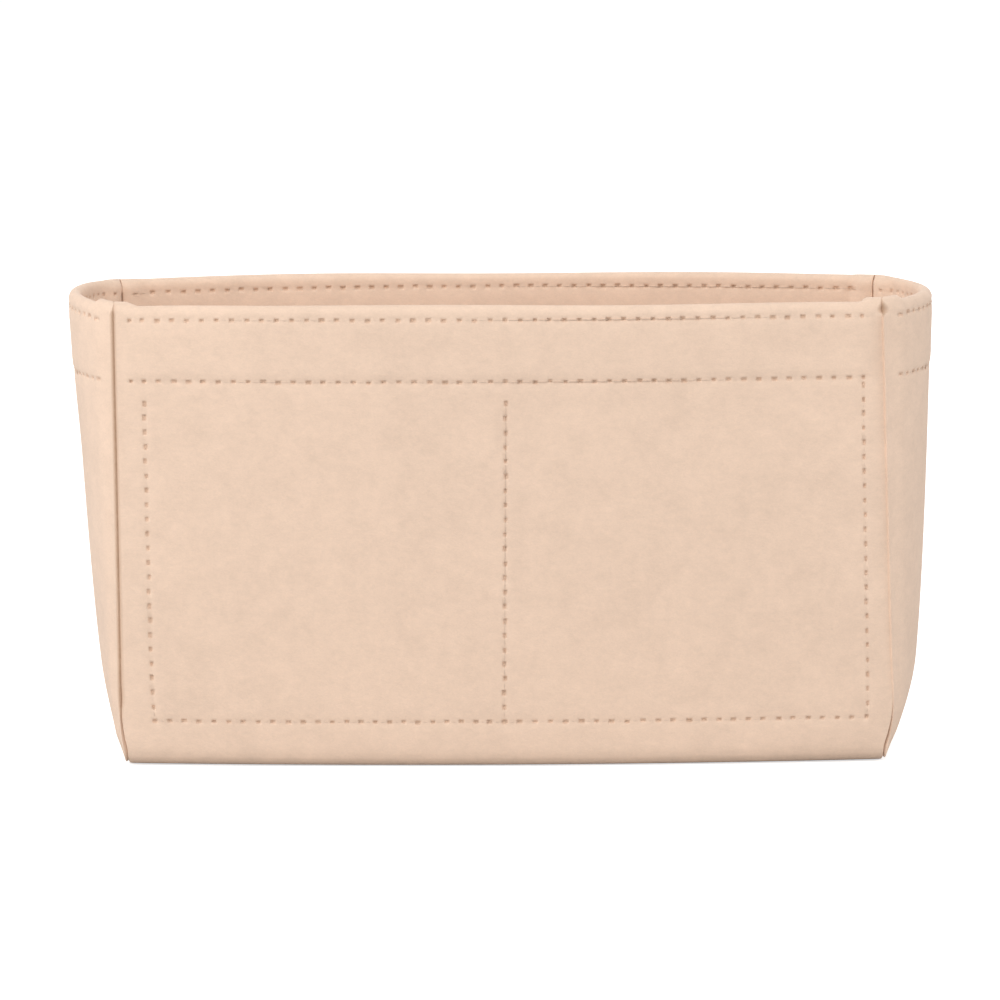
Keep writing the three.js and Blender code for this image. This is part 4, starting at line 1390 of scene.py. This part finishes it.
class ORGANIZER_OT_gussets(bpy.types.Operator):
    """Makes the two end panels"""

    bl_idname = "organizer.gussets"
    bl_label = "End gussets"
    bl_options = {"REGISTER", "UNDO"}

    def execute(self, context):
        f, looks = settings(context)
        for node, side in (("gusset_left", -1), ("gusset_right", 1)):
            self.gusset(f, looks, node, side)
        return {"FINISHED"}

    def gusset(self, f, looks, node, side):
        """A panel from its seam to its middle line, whose back half is its front half's
        rows counted on."""
        edge, cells = turned_edge(f), f.detail.gusset_cells
        start = len(edge[0])
        share = np.append(0 * edge[0], np.append(np.arange(0.5, cells), cells) / cells)
        nothing = 0 * share[start:]
        along, depth, normal_along, normal_depth = (
            np.append(part, nothing + flat) for part, flat in zip(edge, (0, 0, 0, -1)))
        way = whole_way(f)[:, None]
        span = gusset_section(f, wall_level(f, front_way(way)[0])).span
        flat = share > 0
        reach = np.where(flat, share * span, along)
        waves = soft_waves(reach * 1.2 + END_WAVE_STEP * side, way, END_WAVE_HEIGHT)
        panel = SimpleNamespace(
            side=side, way=way, along=reach, depth=depth, flat=flat,
            normal_along=normal_along, normal_depth=normal_depth,
            waves=waves * smooth_share(share * 3),
            relief=np.where(flat, level_rows_relief(f, way), 0))
        sheet = panel_sheet(f, looks, panel, partial(gusset_point, f, side, way),
                            last_is_cut=False, hole_shade=GUSSET_HOLE_SHADE)
        place = ring_placer(f, panel, reach, lambda u, v: level_rows_relief(f, v),
                            partial(gusset_face, f, side))
        random = np.random.default_rng(f.detail.seed + 1)
        columns = [(start + hole - 1, start + hole) for hole in range(cells - 1, 0, -2)]
        spots = [(rows, pair) for rows in rim_row_spans(f, way[:, 0]) for pair in columns]
        sheet.needle_holes(OUTER, spots, place, LEVEL_HOLE, random)
        finish_felt(sheet, node + "_felt", node, looks, flat=GUSSET_FLAT,
                    held="folded", rests_on=["strip_felt"], area=GUSSET_AREA)


def pocket_stand_off(f, x, z):
    """A pocket stands off its wall between the sewn rows: a sine of the height, times one
    less the fourth power of the distance from the middle of the compartment."""
    start = np.where(x < f.middle_row, f.left_row, f.middle_row)
    end = np.where(x < f.middle_row, f.middle_row, f.right_row)
    across = np.clip((x - start) / (end - start), 0, 1)
    rise = np.sin(math.pi / 2 * np.clip((z - f.foot_row) / (f.pocket_mouth - f.foot_row), 0, 1))
    return f.pocket_gape * rise * (1 - (2 * across - 1) ** 4)


def pocket_face(f, turned, x, z, offset):
    """A point of a pocket; turned is one in front and minus one behind, where it is the
    same pocket turned round."""
    y = -wall_half_depth(f, x, z) + f.layer_pitch + pocket_stand_off(f, x, z) - offset
    x = (x + divider_shift(f, x, z)) * drawn_share(f, z, 0)
    return lean_over(f, np.stack(np.broadcast_arrays(x * turned, y * turned, z), -1))


class ORGANIZER_OT_pockets(bpy.types.Operator):
    """Makes the slip pockets inside the two long walls"""

    bl_idname = "organizer.pockets"
    bl_label = "Slip pockets"
    bl_options = {"REGISTER", "UNDO"}

    def execute(self, context):
        f, looks = settings(context)
        for node, turned in (("front_pocket", 1), ("back_pocket", -1)):
            self.pocket(f, looks, node, turned)
        return {"FINISHED"}

    def lines_between(self, lines, low, high):
        """Lines of the wall's own grid inside a pocket's edges, and the edges themselves,
        each with a line close by."""
        after, before = POCKET_MARGINS
        within = lines[(lines > low + after) & (lines < high - before)]
        return np.concatenate([[low, low + POCKET_EDGE], within, [high - POCKET_EDGE, high]])

    def pocket(self, f, looks, node, turned):
        left, right = f.left_row - f.pocket_margin, f.right_row + f.pocket_margin
        lines = self.lines_between(across_lines(f), left, right)
        levels = self.lines_between(wall_lines(f), f.pocket_foot, f.pocket_mouth)
        x, z = lines[None, :], levels[:, None]
        half = f.felt / 2 * eased(len(levels), len(lines), True)
        relief = pocket_rows_relief(f, x, z)
        outer = pocket_face(f, turned, x, z, half)
        inner = pocket_face(f, turned, x, z, -half - relief * POCKET_RELIEF_SHARE)
        sheet = Sheet(outer, inner, groove_shade(relief))

        def place(rows, columns, radii, random):
            u, v = hole_rings(lines[columns], levels[rows], radii, random)
            relief = POCKET_RELIEF_SHARE * pocket_rows_relief(f, u, v)
            return pocket_face(f, turned, u, v, -f.felt / 2 - (relief - RING_DEPTHS[None, :, None]))

        def columns_at(x):
            return column_span(lines, x, f.cell_across / 2)

        def rows_at(z):
            return column_span(levels, z, f.cell_up / 2)

        random = np.random.default_rng(f.detail.seed + 2)
        foot, up, _ = pocket_hole_rows(f)
        level = [(rows_at(f.foot_row), columns_at(x)) for x in foot]
        upright = [
            (rows_at(z), columns_at(x))
            for x in (f.left_row, f.middle_row, f.right_row) for z in up[up < f.pocket_mouth - MOUTH_END]]
        sheet.needle_holes(INNER, level, place, LEVEL_HOLE, random)
        sheet.needle_holes(INNER, upright, place, UPRIGHT_HOLE, random)
        width, height = (right - left) * POCKET_SLACK, f.pocket_mouth - f.pocket_foot
        finish_felt(sheet, node + "_felt", node, looks, flat=(width * MM, height * MM),
                    held="hung", rests_on=["strip_felt"])


class ORGANIZER_OT_rim_rows(bpy.types.Operator):
    """Makes the two rows of stitches round the rim"""

    bl_idname = "organizer.rim_rows"
    bl_label = "Rows round the rim"
    bl_options = {"REGISTER", "UNDO"}

    def execute(self, context):
        f, looks = settings(context)
        for node, z in (("rim_thread", f.rim_row), ("hem_thread", f.hem_row)):
            parts = []
            for way in (wall_way(f, z), hem_way(f, z)):
                parts += [self.strip_rows(f, way), *self.gusset_rows(f, way)]
            make_thread(node, parts, looks)
        return {"FINISHED"}

    def strip_rows(self, f, way):
        """A row of the strip on the front and on the back."""
        end = f.half_panel + STRIP_RUN_ON
        x = np.concatenate([[-end], strip_holes_x(f), [end]])
        runs = [np.stack([x, 0 * x + row], -1) for row in (way, WHOLE - way)]

        def place(u, v, offset):
            return strip_face(f, u, v, offset + level_rows_relief(f, v))
        return stitches(f, runs, place, 1)

    def gusset_rows(self, f, way):
        """A row of each gusset, from its front seam to its back seam: behind the middle
        line both parameters are turned round."""
        span = float(gusset_section(f, wall_level(f, np.float64(way))).span)
        cells = f.detail.gusset_cells
        holes = np.arange(cells - 1, 0, -2)[::-1] * span / cells
        ends = [-GUSSET_RUN_ON], [2 * span + GUSSET_RUN_ON]
        reach = np.concatenate([ends[0], holes, 2 * span - holes[::-1], ends[1]])
        run = np.stack([reach, 0 * reach + way], -1)

        def place(side, u, v, offset):
            behind = u > span
            u = np.where(behind, 2 * span - u, u)
            v = np.where(behind, WHOLE - v, v)
            return gusset_face(f, side, u, v, offset + level_rows_relief(f, v))
        return [stitches(f, [run], partial(place, side), 1, GUSSET_ROW_SUNK) for side in (-1, 1)]


class ORGANIZER_OT_pocket_rows(bpy.types.Operator):
    """Makes the rows of stitches that hold the pockets"""

    bl_idname = "organizer.pocket_rows"
    bl_label = "Rows of the pockets"
    bl_options = {"REGISTER", "UNDO"}

    def execute(self, context):
        f, looks = settings(context)
        foot, up, run_on = pocket_hole_rows(f)
        down, rising = np.append(up[::-1], f.foot_row), np.append(f.foot_row, run_on)
        left, right, divider = (
            np.stack([0 * z + x, z], -1)
            for x, z in ((f.left_row, down), (f.right_row, rising), (f.middle_row, down)))
        level = np.stack([foot, 0 * foot + f.foot_row], -1)
        for wall, turned in (("front", 1), ("back", -1)):
            for name, runs in (("pocket", [left, right, level]), ("divider", [divider])):
                inner = [run[run[:, 1] < f.pocket_mouth + ROW_HALF] for run in runs]
                parts = [
                    stitches(f, runs, partial(self.outside, f, turned), 1),
                    stitches(f, inner, partial(self.inside, f, turned), -1)]
                make_thread(f"{wall}_{name}_thread", parts, looks)
        return {"FINISHED"}

    def outside(self, f, turned, x, z, offset):
        way = wall_way(f, z) if turned > 0 else WHOLE - wall_way(f, z)
        return strip_face(f, x * turned, way, offset + strip_relief(f, x * turned, way))

    def inside(self, f, turned, x, z, offset):
        return pocket_face(f, turned, x, np.minimum(z, f.pocket_mouth), offset)


class ORGANIZER_OT_seam_threads(bpy.types.Operator):
    """Makes the threads that close the corner seams, inside the turned edges"""

    bl_idname = "organizer.seam_threads"
    bl_label = "Threads of the corner seams"
    bl_options = {"REGISTER", "UNDO"}

    def execute(self, context):
        f, looks = settings(context)
        way = half_way(f)
        edge, other, inside, _ = seam_at(f, way[way >= WALL])
        distance = f.edge_radius + THREAD_CLEARANCE + f.thread_radius
        inset = math.sqrt(distance ** 2 - (f.seam_spacing / 2) ** 2)
        centre = (other + edge) / 2 + inside * inset
        for node, side in (("seam_thread_left", -1), ("seam_thread_right", 1)):
            places, ups = (self.whole(part * (side, 1, 1)) for part in (centre, inside))
            radius = np.full((1, len(places)), f.thread_radius)
            part = stitch_tubes(lean_over(f, places[None]), ups[None], radius)
            make_thread(node, [part], looks)
        return {"FINISHED"}

    def whole(self, front):
        """The front half of a seam and, from the base up, its mirrored back half."""
        return np.concatenate([front, (front * (1, -1, 1))[-2::-1]])


class ORGANIZER_PT_panel(bpy.types.Panel):
    """Lists the pieces, their sizes and their colours"""

    bl_idname = "ORGANIZER_PT_panel"
    bl_label = "Organizer insert"
    bl_space_type = "VIEW_3D"
    bl_region_type = "UI"
    bl_category = "Organizer"

    def draw(self, context):
        column = self.layout.column(align=True)
        for operator in OPERATORS:
            column.operator(operator.bl_idname, text=operator.bl_label)
        for name, kind in GROUPS.items():
            box = self.layout.box()
            box.label(text=name.capitalize())
            for key in kind.__annotations__:
                box.prop(getattr(context.scene, "organizer_" + name), key)


OPERATORS = (
    ORGANIZER_OT_stage,
    ORGANIZER_OT_strip,
    ORGANIZER_OT_gussets,
    ORGANIZER_OT_pockets,
    ORGANIZER_OT_rim_rows,
    ORGANIZER_OT_pocket_rows,
    ORGANIZER_OT_seam_threads,
)
CLASSES = (*GROUPS.values(), *OPERATORS, ORGANIZER_PT_panel)


def register():
    for kind in CLASSES:
        bpy.utils.register_class(kind)
    for name, kind in GROUPS.items():
        setattr(bpy.types.Scene, "organizer_" + name, PointerProperty(type=kind))


def unregister():
    for name in GROUPS:
        delattr(bpy.types.Scene, "organizer_" + name)
    for kind in reversed(CLASSES):
        bpy.utils.unregister_class(kind)


def main():
    register()
    for operator in OPERATORS:
        group, name = operator.bl_idname.split(".")
        getattr(getattr(bpy.ops, group), name)()


if __name__ == "__main__":
    main()
